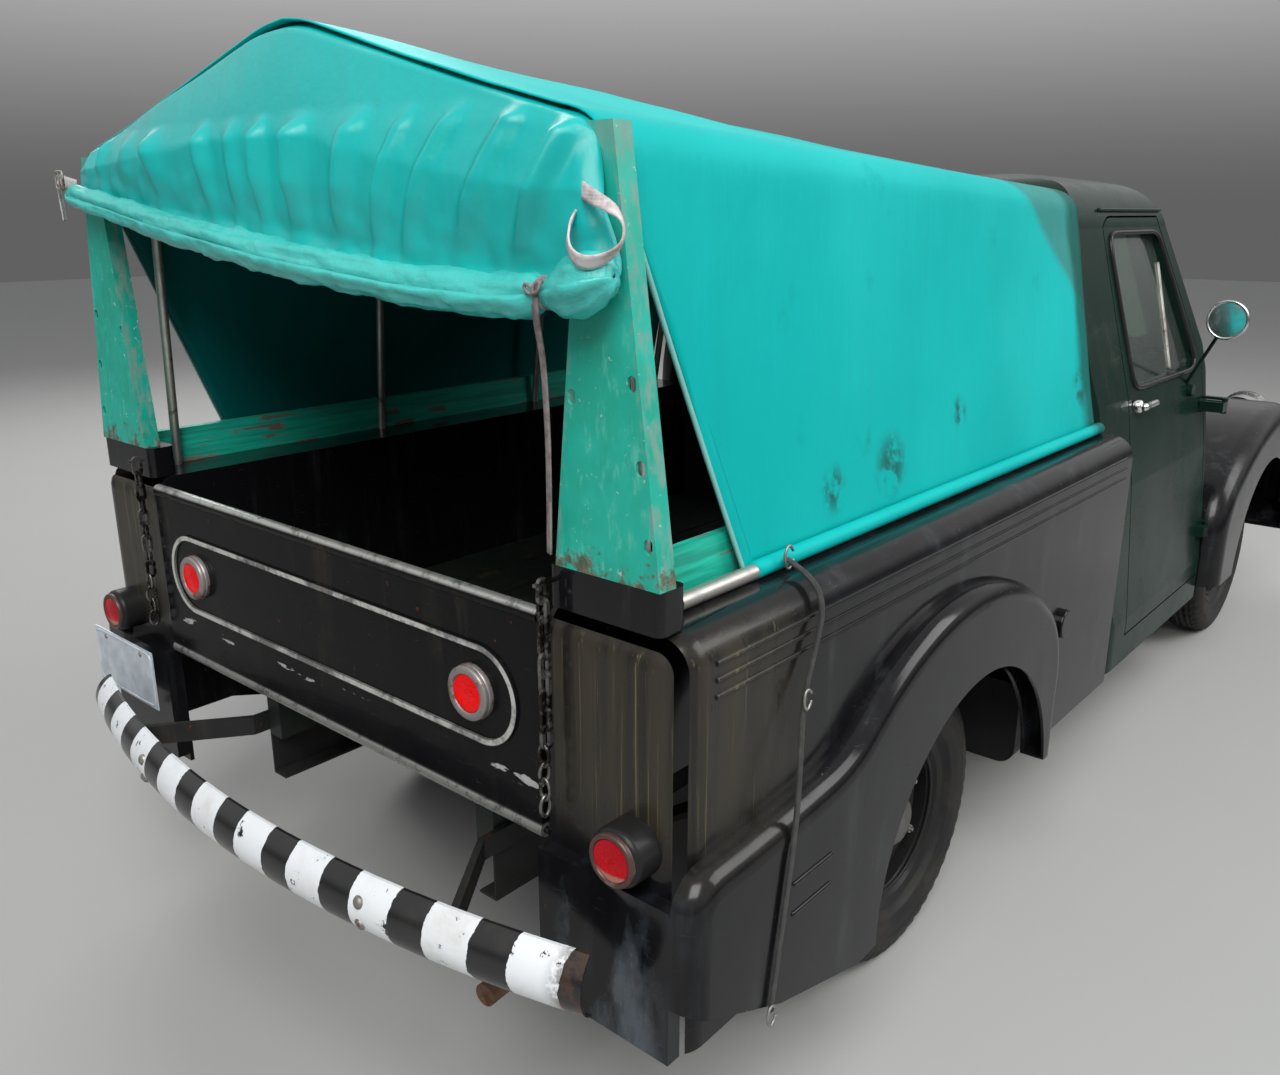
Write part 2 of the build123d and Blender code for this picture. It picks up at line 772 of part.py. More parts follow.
def window_prism(inset):
    with BuildPart() as prism:
        with BuildSketch(Plane.XZ):
            with BuildLine():
                Polyline(
                    (door_rear_x + 75 - inset, waist_z - inset),
                    (door_rear_x + 82 - inset, door_top_z - 60 + inset),
                    (cab_back_x + 838 + inset, door_top_z - 60 + inset),
                    (door_front_x - 95 + inset, waist_z + 45),
                    (door_front_x - 95 + inset, waist_z - inset),
                    close=True,
                )
            make_face()
            fillet(vertices(), 28)
        extrude(amount=-1000)
    return prism.part


def windscreen_prism(inset):
    with BuildPart() as prism:
        with BuildSketch(Plane.YZ.offset(cab_back_x + 900)):
            for side in (1, -1):
                with BuildLine():
                    Polyline(
                        (side * (24 + inset), 1300 + inset), (side * (24 + inset), 1700 - inset),
                        (side * (540 - inset), 1685 - inset), (side * (610 - inset), 1300 + inset),
                        close=True,
                    )
                make_face()
            fillet(vertices(), 24 - inset)
        extrude(amount=420)
    return prism.part


hinge_levels = (620, 1080)
hinge_ear = 10
bonnet_hinge_y = 230
bonnet_hinge_x = cab_front_x + 2
bonnet_hinge_z = 1246
bonnet_barrel = 40


def bonnet_hinge_leaf(start_x, start_z, end_x, end_z, centre_y, length):
    with BuildPart() as leaf:
        with BuildSketch(Plane.XZ.offset(-centre_y - length / 2)):
            with BuildLine():
                Polyline(
                    (start_x, start_z), (end_x, end_z), (bonnet_hinge_x, bonnet_hinge_z - 7),
                    (bonnet_hinge_x, bonnet_hinge_z + 7), close=True,
                )
            make_face()
            with Locations((bonnet_hinge_x, bonnet_hinge_z)):
                Circle(8)
        extrude(amount=length)
    return leaf.part


cab_outer = cab_form(0)
cab_inner = cab_form(cab_wall)
door_inner = cab_form(door_thick)
cab_floor_z = rail_top_z + 24
with BuildPart() as cab:
    add(cab_outer)
    with BuildPart(mode=Mode.PRIVATE) as space:
        add(cab_inner)
        with Locations((cab_back_x, 0, cab_floor_z)):
            Box(3000, 3000, 3000, align=(Align.CENTER, Align.CENTER, Align.MIN), mode=Mode.INTERSECT)
    add(space.part, mode=Mode.SUBTRACT)
    with Locations((cab_back_x, 0, rail_top_z)):
        Box(4000, 2 * (cab_half_width - 60), 300, align=(Align.CENTER, Align.CENTER, Align.MAX),
            mode=Mode.SUBTRACT)
    add(door_prism(0), mode=Mode.SUBTRACT)
    add(mirror(door_prism(0), about=Plane.XZ), mode=Mode.SUBTRACT)
    with BuildSketch(Plane.YZ.offset(cab_back_x - 50)):
        with Locations((0, 1480)):
            RectangleRounded(760, 270, 60)
    extrude(amount=300, mode=Mode.SUBTRACT)
    add(windscreen_prism(0), mode=Mode.SUBTRACT)
    for level in hinge_levels:
        for side in (1, -1):
            with Locations((hinge_x, side * hinge_y, level)):
                Cylinder(hinge_pin_radius, hinge_barrel_height + 2 * hinge_ear)
            for end in (1, -1):
                lift = end * (hinge_barrel_height + hinge_ear) / 2
                with BuildSketch(Plane.XY.offset(level + lift - (hinge_ear - seat_gap) / 2)):
                    with Locations((hinge_x, side * hinge_y)):
                        Circle(hinge_barrel_radius)
                    with Locations((hinge_x + 13, side * (hinge_y - 45))):
                        Rectangle(22, 90)
                extrude(amount=hinge_ear - seat_gap)
    for side in (1, -1):
        with Locations((bonnet_hinge_x, side * bonnet_hinge_y, bonnet_hinge_z)):
            Cylinder(hinge_pin_radius, bonnet_barrel + 2 * hinge_ear, rotation=(90, 0, 0))
        for end in (1, -1):
            add(bonnet_hinge_leaf(
                cab_front_x - 40, 1225, cab_front_x - 6, 1225,
                side * bonnet_hinge_y + end * (bonnet_barrel + hinge_ear) / 2, hinge_ear - seat_gap,
            ))
write(cab.part, "cab")

# Doors: the cab's own skin, as thick as the whole door, with the window cut and a lever handle
handle_y = 854
handle_z = 1168
handle_radius = 8
handle_length = 110


def make_door():
    with BuildPart() as door:
        add(cab_outer)
        add(door_inner, mode=Mode.SUBTRACT)
        add(door_prism(shut_gap), mode=Mode.INTERSECT)
        add(window_prism(0), mode=Mode.SUBTRACT)
        for level in hinge_levels:
            with BuildSketch(Plane.XY.offset(level - hinge_barrel_height / 2)):
                with BuildLine():
                    Polyline(
                        (hinge_x, hinge_y + hinge_barrel_radius),
                        (hinge_x - 60, hinge_y + hinge_barrel_radius),
                        (hinge_x - 60, cab_half_width - 60),
                        (hinge_x - 10, cab_half_width - 60),
                        (hinge_x - 10, hinge_y),
                        (hinge_x, hinge_y),
                        close=True,
                    )
                make_face()
                with Locations((hinge_x, hinge_y)):
                    Circle(hinge_barrel_radius)
                    Circle(hinge_pin_radius + seat_gap, mode=Mode.SUBTRACT)
            extrude(amount=hinge_barrel_height)
        with Locations((door_rear_x + 60, handle_y, handle_z)):
            Cylinder(
                handle_radius + 2, 40, rotation=(90, 0, 0), align=(Align.CENTER, Align.CENTER, Align.MIN)
            )
            Cylinder(
                handle_radius, handle_length, rotation=(0, 90, 0),
                align=(Align.CENTER, Align.CENTER, Align.MIN),
            )
            Sphere(handle_radius + 2)
        with Locations((door_rear_x + 60 + handle_length, handle_y, handle_z)):
            Sphere(handle_radius)
    return door.part


both_sides(make_door(), "door")

# Glass, set in the middle of the doors' and the cab's thickness
glass_thick = 6
with BuildPart() as door_glass:
    add(cab_form(20))
    add(cab_form(20 + glass_thick), mode=Mode.SUBTRACT)
    add(window_prism(-seat_gap), mode=Mode.INTERSECT)
both_sides(door_glass.part, "door_glass")

with BuildPart() as cab_glass:
    add(cab_form(11))
    add(cab_form(11 + glass_thick), mode=Mode.SUBTRACT)
    with BuildPart(mode=Mode.PRIVATE) as panes:
        with BuildSketch(Plane.YZ.offset(cab_back_x - 50)):
            with Locations((0, 1480)):
                RectangleRounded(760 - 2 * seat_gap, 270 - 2 * seat_gap, 60 - seat_gap)
        extrude(amount=300)
        add(windscreen_prism(seat_gap))
    add(panes.part, mode=Mode.INTERSECT)
write(cab_glass.part, "cab_glass")

# Dashboard across the cab, short of the doors
dash_half_width = 735
with BuildPart() as dashboard:
    with BuildSketch(Plane.XZ.offset(-dash_half_width)):
        with BuildLine():
            Polyline(
                (cab_front_x - 250, 1045), (cab_front_x - 275, 1180), (cab_front_x - 210, 1225),
                (cab_front_x - 90, 1240), (cab_front_x + 10, 1240), (cab_front_x + 10, 1100),
                close=True,
            )
        make_face()
        fillet(vertices().group_by(Axis.X)[0], 25)
    extrude(amount=2 * dash_half_width)
    add(cab_form(cab_wall + seat_gap), mode=Mode.INTERSECT)
write(dashboard.part, "dashboard")

# Bench seat: base, cushion and back
seat_half_width = 640
with BuildPart() as seat:
    with BuildSketch(Plane.XZ.offset(-seat_half_width)):
        with BuildLine():
            Polyline(
                (cab_back_x + 290, cab_floor_z), (cab_back_x + 700, cab_floor_z),
                (cab_back_x + 710, 760), (cab_back_x + 765, 790), (cab_back_x + 770, 900),
                (cab_back_x + 300, 880), (cab_back_x + 170, 1390), (cab_back_x + 100, 1380),
                (cab_back_x + 90, 1180), (cab_back_x + 200, 780), (cab_back_x + 290, 760),
                close=True,
            )
        make_face()
        fillet(vertices().filter_by(lambda v: v.Z > 850), 28)
    extrude(amount=2 * seat_half_width)
write(seat.part, "seat")

# Steering column and wheel
column_base = Vector(cab_front_x - 20, column_y, 640)
column_top = Vector(cab_front_x - 420, column_y, 1050)
column_axis = (column_top - column_base).normalized()
column_length = (column_top - column_base).length
column_plane = Plane(origin=column_base, x_dir=(0, 1, 0), z_dir=column_axis)
hub_plane = Plane(origin=column_top, x_dir=(0, 1, 0), z_dir=column_axis)
with BuildPart() as steering_column:
    with BuildSketch(column_plane):
        Circle(20)
    extrude(amount=column_length)
    with BuildSketch(column_plane):
        Circle(11)
    extrude(amount=column_length + 30)
    add(cab_form(cab_wall + seat_gap), mode=Mode.INTERSECT)
write(steering_column.part, "steering_column")

with BuildPart() as steering_wheel:
    with BuildSketch(hub_plane.offset(seat_gap)):
        Circle(34)
        Circle(11 + seat_gap, mode=Mode.SUBTRACT)
    extrude(amount=30 + seat_gap)
    with BuildSketch(hub_plane.offset(30 + 2 * seat_gap)):
        Circle(34)
    extrude(amount=8)
    with BuildSketch(hub_plane.offset(12)):
        with PolarLocations((steering_wheel_radius + 30) / 2, 3):
            Rectangle(steering_wheel_radius - 30, 16)
    extrude(amount=8)
    with Locations(hub_plane.offset(16).location):
        Torus(steering_wheel_radius, 12)
write(steering_wheel.part, "steering_wheel")

# Round mirrors on arms from the doors
mirror_radius = 62
mirror_place = (door_front_x - 340, cab_half_width + 55, 1410)
mirror_foot = (door_front_x - 180, cab_half_width - 94, 1150)
with BuildPart() as side_mirror:
    with Locations(mirror_place):
        Cylinder(mirror_radius, 14, rotation=(0, 90, 0))
    arm_start = Vector(*mirror_foot)
    arm_end = Vector(*mirror_place) + Vector(8, 0, 0)
    arm_way = (arm_end - arm_start).normalized()
    with BuildSketch(Plane(origin=arm_start, z_dir=arm_way)):
        Circle(6)
    extrude(amount=(arm_end - arm_start).length)
    with BuildSketch(Plane(origin=arm_start, z_dir=(0, 1, 0))):
        Circle(22)
    extrude(amount=38)
    add(cab_form(-seat_gap), mode=Mode.SUBTRACT)
both_sides(side_mirror.part, "mirror")

# Bonnet: one panel lofted through crowned sections, open below
bonnet_rear_x = cab_front_x + shut_gap
bonnet_foot_z = 992
bonnet_sections = (
    # distance from the rear edge, half-width, shoulder height, crown height
    (0, 572, 1130, 1228),
    (380, 525, 1105, 1204),
    (780, 425, 1055, 1140),
    (1080, 292, 1020, 1064),
    (1150, 222, 1012, 1040),
)


def bonnet_form(inset):
    with BuildPart() as form:
        for distance, half_width, shoulder_z, crown_z in bonnet_sections:
            end_inset = 0 if distance == 0 else inset
            with BuildSketch(Plane.YZ.offset(bonnet_rear_x + distance - end_inset)):
                with BuildLine():
                    half = half_width - inset
                    shoulder = shoulder_z - inset
                    Polyline(
                        (half, shoulder), (half + 6, bonnet_foot_z), (-half - 6, bonnet_foot_z),
                        (-half, shoulder),
                    )
                    ThreePointArc((-half, shoulder), (0, crown_z - inset), (half, shoulder))
                make_face()
        loft()
    return form.part


with BuildPart() as bonnet:
    add(bonnet_form(0))
    add(bonnet_form(12), mode=Mode.SUBTRACT)
    for side in (1, -1):
        add(bonnet_hinge_leaf(
            bonnet_rear_x + 44, 1200, bonnet_rear_x + 6, 1206, side * bonnet_hinge_y, bonnet_barrel,
        ))
    with Locations((bonnet_hinge_x, 0, bonnet_hinge_z)):
        Cylinder(
            hinge_pin_radius + seat_gap, 2 * bonnet_hinge_y + 100, rotation=(90, 0, 0), mode=Mode.SUBTRACT
        )
write(bonnet.part, "bonnet")

# Nose: side panels of the engine bay that close to a prow with a barred grille
nose_rear_x = cab_front_x + seat_gap
nose_sections = (
    # distance from the rear edge, half-width
    (0, 486),
    (260, 483),
    (520, 460),
    (900, 345),
    (1120, 232),
    (1195, 120),
)
nose_crown_z = bonnet_foot_z - shut_gap
grille_bottom_z = 610
grille_top_z = 890
grille_bar_count = 12
grille_bar = 9
grille_proud = 3
grille_pitch = (grille_top_z - grille_bottom_z) / grille_bar_count


def nose_form(inset):
    with BuildPart() as form:
        for distance, half_width in nose_sections:
            end_inset = 0 if distance == 0 else inset
            with BuildSketch(Plane.YZ.offset(nose_rear_x + distance - end_inset)):
                with Locations((0, (nose_bottom_z + nose_crown_z) / 2)):
                    Rectangle(2 * (half_width - inset), nose_crown_z - nose_bottom_z)
                fillet(vertices(), 30)
        loft()
    return form.part


with BuildPart() as nose:
    add(nose_form(0))
    add(nose_form(nose_wall), mode=Mode.SUBTRACT)
    with Locations((nose_rear_x + 980, 0, (grille_bottom_z + grille_top_z) / 2)):
        Box(
            400, 1200, grille_top_z - grille_bottom_z,
            align=(Align.MIN, Align.CENTER, Align.CENTER), mode=Mode.SUBTRACT,
        )
    with BuildPart(mode=Mode.PRIVATE) as bars:
        add(nose_form(-grille_proud))
        add(nose_form(nose_wall + 6), mode=Mode.SUBTRACT)
        with BuildPart(mode=Mode.PRIVATE) as slats:
            with Locations(*[
                (nose_rear_x + 970, 0, grille_bottom_z + (bar + 0.5) * grille_pitch)
                for bar in range(grille_bar_count)
            ]):
                Box(400, 1200, grille_bar, align=(Align.MIN, Align.CENTER, Align.CENTER))
            with Locations((nose_rear_x + 1150, 0, (grille_bottom_z + grille_top_z) / 2)):
                Box(
                    100, 34, grille_top_z - grille_bottom_z + 20,
                    align=(Align.MIN, Align.CENTER, Align.CENTER),
                )
        add(slats.part, mode=Mode.INTERSECT)
    add(bars.part)
write(nose.part, "nose")

# Front fenders: pontoons with a full arch, from the door to the front
fender_wall = 7
front_fender_rear_x = cab_front_x - 120
front_fender_length = front_axle_x + 610 - front_fender_rear_x
front_fender_round = 75
lamp_radius = 96
lamp_x = front_axle_x + 400
lamp_y = 735
lamp_z = 870
lamp_rim = 8
lamp_rim_width = 22
lamp_rim_x = lamp_x + 53


def front_fender_profile(inset):
    with BuildSketch(Plane.XZ) as profile:
        with BuildLine():
            rear = front_fender_rear_x
            axle = front_axle_x
            Line((rear, 385), (rear, 560))
            corner = TangentArc((rear, 560), (rear + 130, 790), tangent=(0, 1))
            crown = TangentArc(corner @ 1, (axle + 100, 984), tangent=corner % 1)
            brow = TangentArc(crown @ 1, (axle + 430, 880), tangent=crown % 1)
            front = TangentArc(brow @ 1, (axle + 610, 600), tangent=brow % 1)
            Polyline(front @ 1, (axle + 600, 470), (axle + 470, 385), (rear, 385))
        make_face()
        if inset:
            offset(amount=-inset)
    return profile.sketch


def front_fender_form(inset):
    with BuildPart() as form:
        with BuildSketch(Plane.XZ.offset(-front_fender_inner_y - inset)):
            add(front_fender_profile(inset))
        extrude(amount=-(front_fender_outer_y - front_fender_inner_y - 2 * inset))
        rim = form.faces().sort_by(Axis.Y)[-1].edges().filter_by(lambda e: e.center().Z > 480)
        fillet(rim, front_fender_round - inset)
    return form.part


with BuildPart() as front_fender:
    add(front_fender_form(0))
    add(front_fender_form(fender_wall), mode=Mode.SUBTRACT)
    with Locations((front_axle_x, front_fender_outer_y, axle_z)):
        Cylinder(arch_radius, 1200, rotation=(90, 0, 0), mode=Mode.SUBTRACT)
    add(cab_form(-seat_gap), mode=Mode.SUBTRACT)
    with Locations((lamp_x, lamp_y, lamp_z)):
        Cylinder(lamp_radius + seat_gap, 240, rotation=(0, 90, 0), mode=Mode.SUBTRACT)
    with Locations((lamp_rim_x - seat_gap, lamp_y, lamp_z)):
        Cylinder(
            lamp_radius + lamp_rim + seat_gap, 240, rotation=(0, 90, 0),
            align=(Align.CENTER, Align.CENTER, Align.MIN), mode=Mode.SUBTRACT,
        )
both_sides(front_fender.part, "front_fender")

# Aprons: the valleys between the nose and the front fenders, down to the bumper
apron_drop = 92
apron_bottom_z = 548
with BuildPart() as apron:
    for inset, mode in ((apron_drop, Mode.ADD), (apron_drop + fender_wall, Mode.SUBTRACT)):
        with BuildSketch(Plane.XZ.offset(-front_fender_inner_y + seat_gap), mode=Mode.PRIVATE) as band:
            add(front_fender_profile(inset))
        extrude(band.sketch, amount=400, mode=mode)
    with Locations((front_fender_rear_x, 0, apron_bottom_z)):
        Box(
            front_fender_length, front_fender_inner_y, front_fender_length,
            align=(Align.MIN, Align.MIN, Align.MIN), mode=Mode.INTERSECT,
        )
    add(nose_form(-grille_proud - seat_gap), mode=Mode.SUBTRACT)
    add(cab_form(-seat_gap), mode=Mode.SUBTRACT)
pair(apron.part, "front_aprons")

# Headlamps let into the fenders, each with a rim and a domed lens
with BuildPart() as headlamp:
    with Locations((lamp_x + 20, lamp_y, lamp_z)):
        Cylinder(lamp_radius, 170, rotation=(0, 90, 0))
    fillet(headlamp.faces().sort_by(Axis.X)[-1].edges(), 30)
    with Locations((lamp_rim_x, lamp_y, lamp_z)):
        Cylinder(
            lamp_radius + lamp_rim, lamp_rim_width, rotation=(0, 90, 0),
            align=(Align.CENTER, Align.CENTER, Align.MIN),
        )
    fillet(headlamp.faces().filter_by(Axis.X).sort_by(Axis.X)[-2].edges().sort_by(SortBy.RADIUS)[-1], 5)
pair(headlamp.part, "headlamps")

# Rear fenders: pontoon over the wheel with a long tail that wraps the rear corner
rear_fender_outer_y = bed_half_width + 51
rear_fender_round = 44
fender_line_length = 120
fender_lines = (
    # middle of each pressed line, height
    (tail_x + 320, 640),
    (tail_x + 320, 580),
)


def rear_fender_form(inset):
    tail = tail_x - 18
    with BuildPart() as form:
        with BuildSketch(Plane.XZ.offset(-bed_half_width + (1 if inset else 0))):
            with BuildLine():
                Line((tail, 530), (tail, 690))
                wrap = TangentArc((tail, 690), (tail + 72, 764), tangent=(0, 1))
                deck = TangentArc(wrap @ 1, (tail_x + 380, 786), tangent=wrap % 1)
                dip = TangentArc(deck @ 1, (tail_x + 520, 840), tangent=deck % 1)
                crown = TangentArc(dip @ 1, (tail_x + 1040, 978), tangent=dip % 1)
                brow = TangentArc(crown @ 1, (tail_x + 1400, 835), tangent=crown % 1)
                front = TangentArc(brow @ 1, (tail_x + 1505, 560), tangent=brow % 1)
                Polyline(
                    front @ 1, (tail_x + 1505, 400), (tail_x + 1300, 400), (tail_x + 640, 340),
                    (tail_x + 515, 330), (tail_x + 234, 412), (tail, 530),
                )
            make_face()
            if inset:
                offset(amount=-inset)
        extrude(amount=-(rear_fender_outer_y - bed_half_width - inset + (1 if inset else 0)))
        rim = form.faces().sort_by(Axis.Y)[-1].edges().filter_by(lambda e: e.center().Z > 475)
        fillet(rim, rear_fender_round - inset)
    return form.part


with BuildPart() as rear_fender:
    add(rear_fender_form(0))
    add(rear_fender_form(fender_wall), mode=Mode.SUBTRACT)
    with Locations((rear_axle_x, rear_fender_outer_y, axle_z)):
        Cylinder(arch_radius, 300, rotation=(90, 0, 0), mode=Mode.SUBTRACT)
    with Locations((body_rear_x, bed_half_width, 420)):
        Box(
            30, bed_half_width - bed_inner_y, 285, align=(Align.MAX, Align.MAX, Align.MIN)
        )
    for line_x, line_z in fender_lines:
        with Locations((line_x, rear_fender_outer_y - 1, line_z)):
            Cylinder(bead_radius, fender_line_length, rotation=(0, 90, 0))
        for end in (-1, 1):
            with Locations((line_x + end * fender_line_length / 2, rear_fender_outer_y - 1, line_z)):
                Sphere(bead_radius)
both_sides(rear_fender.part, "rear_fender")

# Tail lamps: bullet housings on the body's rear face
tail_lamp_y = 852
tail_lamp_z = 775
with BuildPart() as tail_lamp:
    with Locations((body_rear_x, tail_lamp_y, tail_lamp_z)):
        Cylinder(52, 56, rotation=(0, 90, 0), align=(Align.CENTER, Align.CENTER, Align.MAX))
    fillet(tail_lamp.faces().sort_by(Axis.X)[0].edges(), 14)
pair(tail_lamp.part, "tail_lamps")

# Licence plate, blank, under the left lamp on its bracket
plate_y = 805
plate_z = 640
with BuildPart() as licence_plate:
    with Locations((tail_x - 52, plate_y, plate_z)):
        Box(3, 305, 152)
    with Locations((body_rear_x - 30, plate_y, plate_z + 30)):
        Box(32 + 3, 40, 30, align=(Align.MAX, Align.CENTER, Align.CENTER))
write(licence_plate.part, "licence_plate")

# Tilt posts: tapered pressings on the corner caps, flanged along both edges
post_gauge = 5
post_flange = 38
post_top_z = 1864
post_outer_foot_y = cap_outer_y - 1
post_outer_top_y = 812
post_inner_foot_y = cap_inner_y + 19
post_inner_top_y = 752
post_hole_width = 16
post_hole_height = 24
post_holes = (
    # distance from the centre line, height
    (876, 1277),
    (861, 1391),
    (845, 1511),
    (726, 1481),
)
with BuildPart() as tilt_posts:
    with BuildSketch(Plane.YZ.offset(body_rear_x)):
        with BuildLine():
            Polyline(
                (post_inner_foot_y, cap_z), (post_outer_foot_y, cap_z),
                (post_outer_top_y, post_top_z), (post_inner_top_y, post_top_z), close=True,
            )
        make_face()
    extrude(amount=post_flange)
    with BuildSketch(Plane.YZ.offset(body_rear_x + post_gauge)):
        with BuildLine():
            Polyline(
                (post_inner_foot_y + post_gauge, cap_z),
                (post_outer_foot_y - post_gauge, cap_z),
                (post_outer_top_y - post_gauge, post_top_z),
                (post_inner_top_y + post_gauge, post_top_z),
                close=True,
            )
        make_face()
    extrude(amount=post_flange, mode=Mode.SUBTRACT)
    with BuildSketch(Plane.YZ.offset(body_rear_x)):
        for hole_y, hole_z in post_holes:
            with Locations((hole_y, hole_z)):
                SlotOverall(post_hole_height, post_hole_width, rotation=90)
    extrude(amount=post_gauge, mode=Mode.SUBTRACT)
pair(tilt_posts.part, "tilt_posts")

# Side boards along the decks, inside the leaning canvas, and the poles in its hems
tilt_sections = (
    # x, eave half-width, eave height, ridge height
    (tilt_rear_x, 790, 1888, 2078),
    (tilt_front_x, 716, 1806, 1902),
)
eave_drop = 70
front_lean = (tilt_foot_y - tilt_sections[1][1]) / (tilt_sections[1][2] - eave_drop - tilt_foot_z)
board_top_lean = front_lean * (deck_z + board_height - tilt_foot_z)
board_y = tilt_foot_y - tilt_thick - board_top_lean - seat_gap - board_thick / 2
board_rear_x = body_rear_x + cap_depth
with BuildPart() as side_boards:
    with Locations(((board_rear_x + bed_front_x - 20) / 2, board_y, deck_z)):
        Box(
            bed_front_x - 20 - board_rear_x, board_thick, board_height,
            align=(Align.CENTER, Align.CENTER, Align.MIN),
        )
pair(side_boards.part, "side_boards")

hem_y = tilt_foot_y + seat_gap + pole_radius
with BuildPart() as hem_poles:
    with Locations(((tail_x + 120 + bed_front_x - 40) / 2, hem_y, deck_z + pole_radius)):
        Cylinder(pole_radius, bed_front_x - 40 - tail_x - 120, rotation=(0, 90, 0))
pair(hem_poles.part, "hem_poles")

# Canvas tilt: a softly ridged roof with slanting sides, cut back at its rear edges
ridge_round_y = 100


def ridge_flank_z(section):
    _, eave_half, eave_height, ridge_height = section
    return ridge_height - (ridge_height - eave_height) * ridge_round_y / (eave_half - 80)


def ridge_top_z(section):
    return (ridge_flank_z(section) + section[3]) / 2


def tilt_form(inset):
    with BuildPart() as form:
        for section in tilt_sections:
            x, eave_y, eave_z, _ = section
            flank_z = ridge_flank_z(section) - inset
            with BuildSketch(Plane.YZ.offset(x)):
                with BuildLine():
                    for side in (1, -1):
                        foot = (side * (tilt_foot_y - inset), tilt_foot_z)
                        low = (side * (eave_y - inset), eave_z - eave_drop)
                        bend = (side * (eave_y - 18 - 0.8 * inset), eave_z - 22 - 0.6 * inset)
                        high = (side * (eave_y - 80), eave_z - inset)
                        Line(foot, low)
                        ThreePointArc(low, bend, high)
                        Line(high, (side * ridge_round_y, flank_z))
                    ThreePointArc(
                        (-ridge_round_y, flank_z), (0, ridge_top_z(section) - inset),
                        (ridge_round_y, flank_z),
                    )
                    Line((-tilt_foot_y + inset, tilt_foot_z), (tilt_foot_y - inset, tilt_foot_z))
                make_face()
        loft(ruled=True)
    return form.part


with BuildPart() as canvas:
    add(tilt_form(0))
    add(tilt_form(tilt_thick), mode=Mode.SUBTRACT)
    with BuildSketch(Plane.XZ.offset(-1200)):
        with BuildLine():
            Polyline(
                (tail_x - 100, 1100), (tilt_cut_x, 1100), (tilt_cut_x, tilt_foot_z),
                (tilt_rear_x, 1870), (tail_x - 100, 1870), close=True,
            )
        make_face()
    extrude(amount=2400, mode=Mode.SUBTRACT)
write(canvas.part, "canvas")

# Rear curtain: a gable against the canvas, a short drop behind the posts, and a rolled foot
roll_radius = 34
roll_half_length = 796
roll_z = 1690
roll_slope = 5.7
roll_rise = roll_half_length * tan(radians(roll_slope))
curtain_x = body_rear_x - seat_gap - tilt_thick
curtain_corner_y = 766
curtain_corner_z = post_top_z + 3
gable_y = 708
gable_z = 1884
gable_round_y = 96
with BuildPart() as curtain:
    with BuildSketch(Plane.YZ.offset(curtain_x)):
        with BuildLine():
            left_slope = Polyline(
                (-curtain_corner_y, curtain_corner_z), (-gable_y, gable_z),
                (-gable_round_y, ridge_flank_z(tilt_sections[0]) - 4),
            )
            crown = ThreePointArc(
                left_slope @ 1, (0, ridge_top_z(tilt_sections[0]) - 4),
                (gable_round_y, ridge_flank_z(tilt_sections[0]) - 4),
            )
            Polyline(
                crown @ 1, (gable_y, gable_z), (curtain_corner_y, curtain_corner_z),
                (-curtain_corner_y, curtain_corner_z),
            )
        make_face()
    extrude(amount=tilt_rear_x - seat_gap - curtain_x)
    with BuildSketch(Plane.YZ.offset(curtain_x)):
        with BuildLine():
            Polyline(
                (-roll_half_length, roll_z - roll_rise), (-curtain_corner_y, curtain_corner_z + 6),
                (curtain_corner_y, curtain_corner_z + 6), (roll_half_length, roll_z + roll_rise),
                close=True,
            )
        make_face()
    extrude(amount=tilt_thick)
    with Locations(Location(
        (body_rear_x - seat_gap - roll_radius, 0, roll_z), (90 + roll_slope, 0, 0)
    )):
        Cylinder(roll_radius, 2 * roll_half_length)
write(curtain.part, "curtain")

# Bows and ridge pole under the canvas
bow_radius = 11
bow_foot_y = board_y - board_thick / 2 - bow_radius - 2
ridge_drop = 40
ridge_slope = (tilt_sections[1][3] - tilt_sections[0][3]) / (tilt_front_x - tilt_rear_x)
eave_slope = (tilt_sections[1][2] - tilt_sections[0][2]) / (tilt_front_x - tilt_rear_x)
inward_slope = (tilt_sections[1][1] - tilt_sections[0][1]) / (tilt_front_x - tilt_rear_x)
bow_count = 4
bow_first_x = tail_x + 130
bow_last_x = tilt_front_x - 45
with BuildPart() as tilt_bows:
    for bow in range(bow_count):
        x = bow_first_x + (bow_last_x - bow_first_x) * bow / (bow_count - 1)
        run = x - tilt_rear_x
        ridge_z = tilt_sections[0][3] + ridge_slope * run - ridge_drop
        eave_z = tilt_sections[0][2] + eave_slope * run - 50
        eave_y = tilt_sections[0][1] + inward_slope * run - 50
        with BuildLine() as bow_line:
            FilletPolyline(
                (x, bow_foot_y, deck_z - 5), (x, eave_y, eave_z), (x, 0, ridge_z), (x, -eave_y, eave_z),
                (x, -bow_foot_y, deck_z - 5),
                radius=70,
            )
        with BuildSketch(Plane(origin=bow_line.line @ 0, z_dir=bow_line.line % 0)):
            Circle(bow_radius)
        sweep()
    pole_start = Vector(tilt_rear_x + 10, 0, tilt_sections[0][3] + ridge_slope * 10 - ridge_drop)
    pole_end = Vector(
        tilt_front_x - 10, 0, tilt_sections[1][3] - ridge_slope * 10 - ridge_drop)
    with BuildSketch(Plane(origin=pole_start, z_dir=(pole_end - pole_start).normalized())):
        Circle(pole_radius)
    extrude(amount=(pole_end - pole_start).length)
    split(bisect_by=Plane.XY.offset(deck_z), keep=Keep.TOP)
write(tilt_bows.part, "tilt_bows")

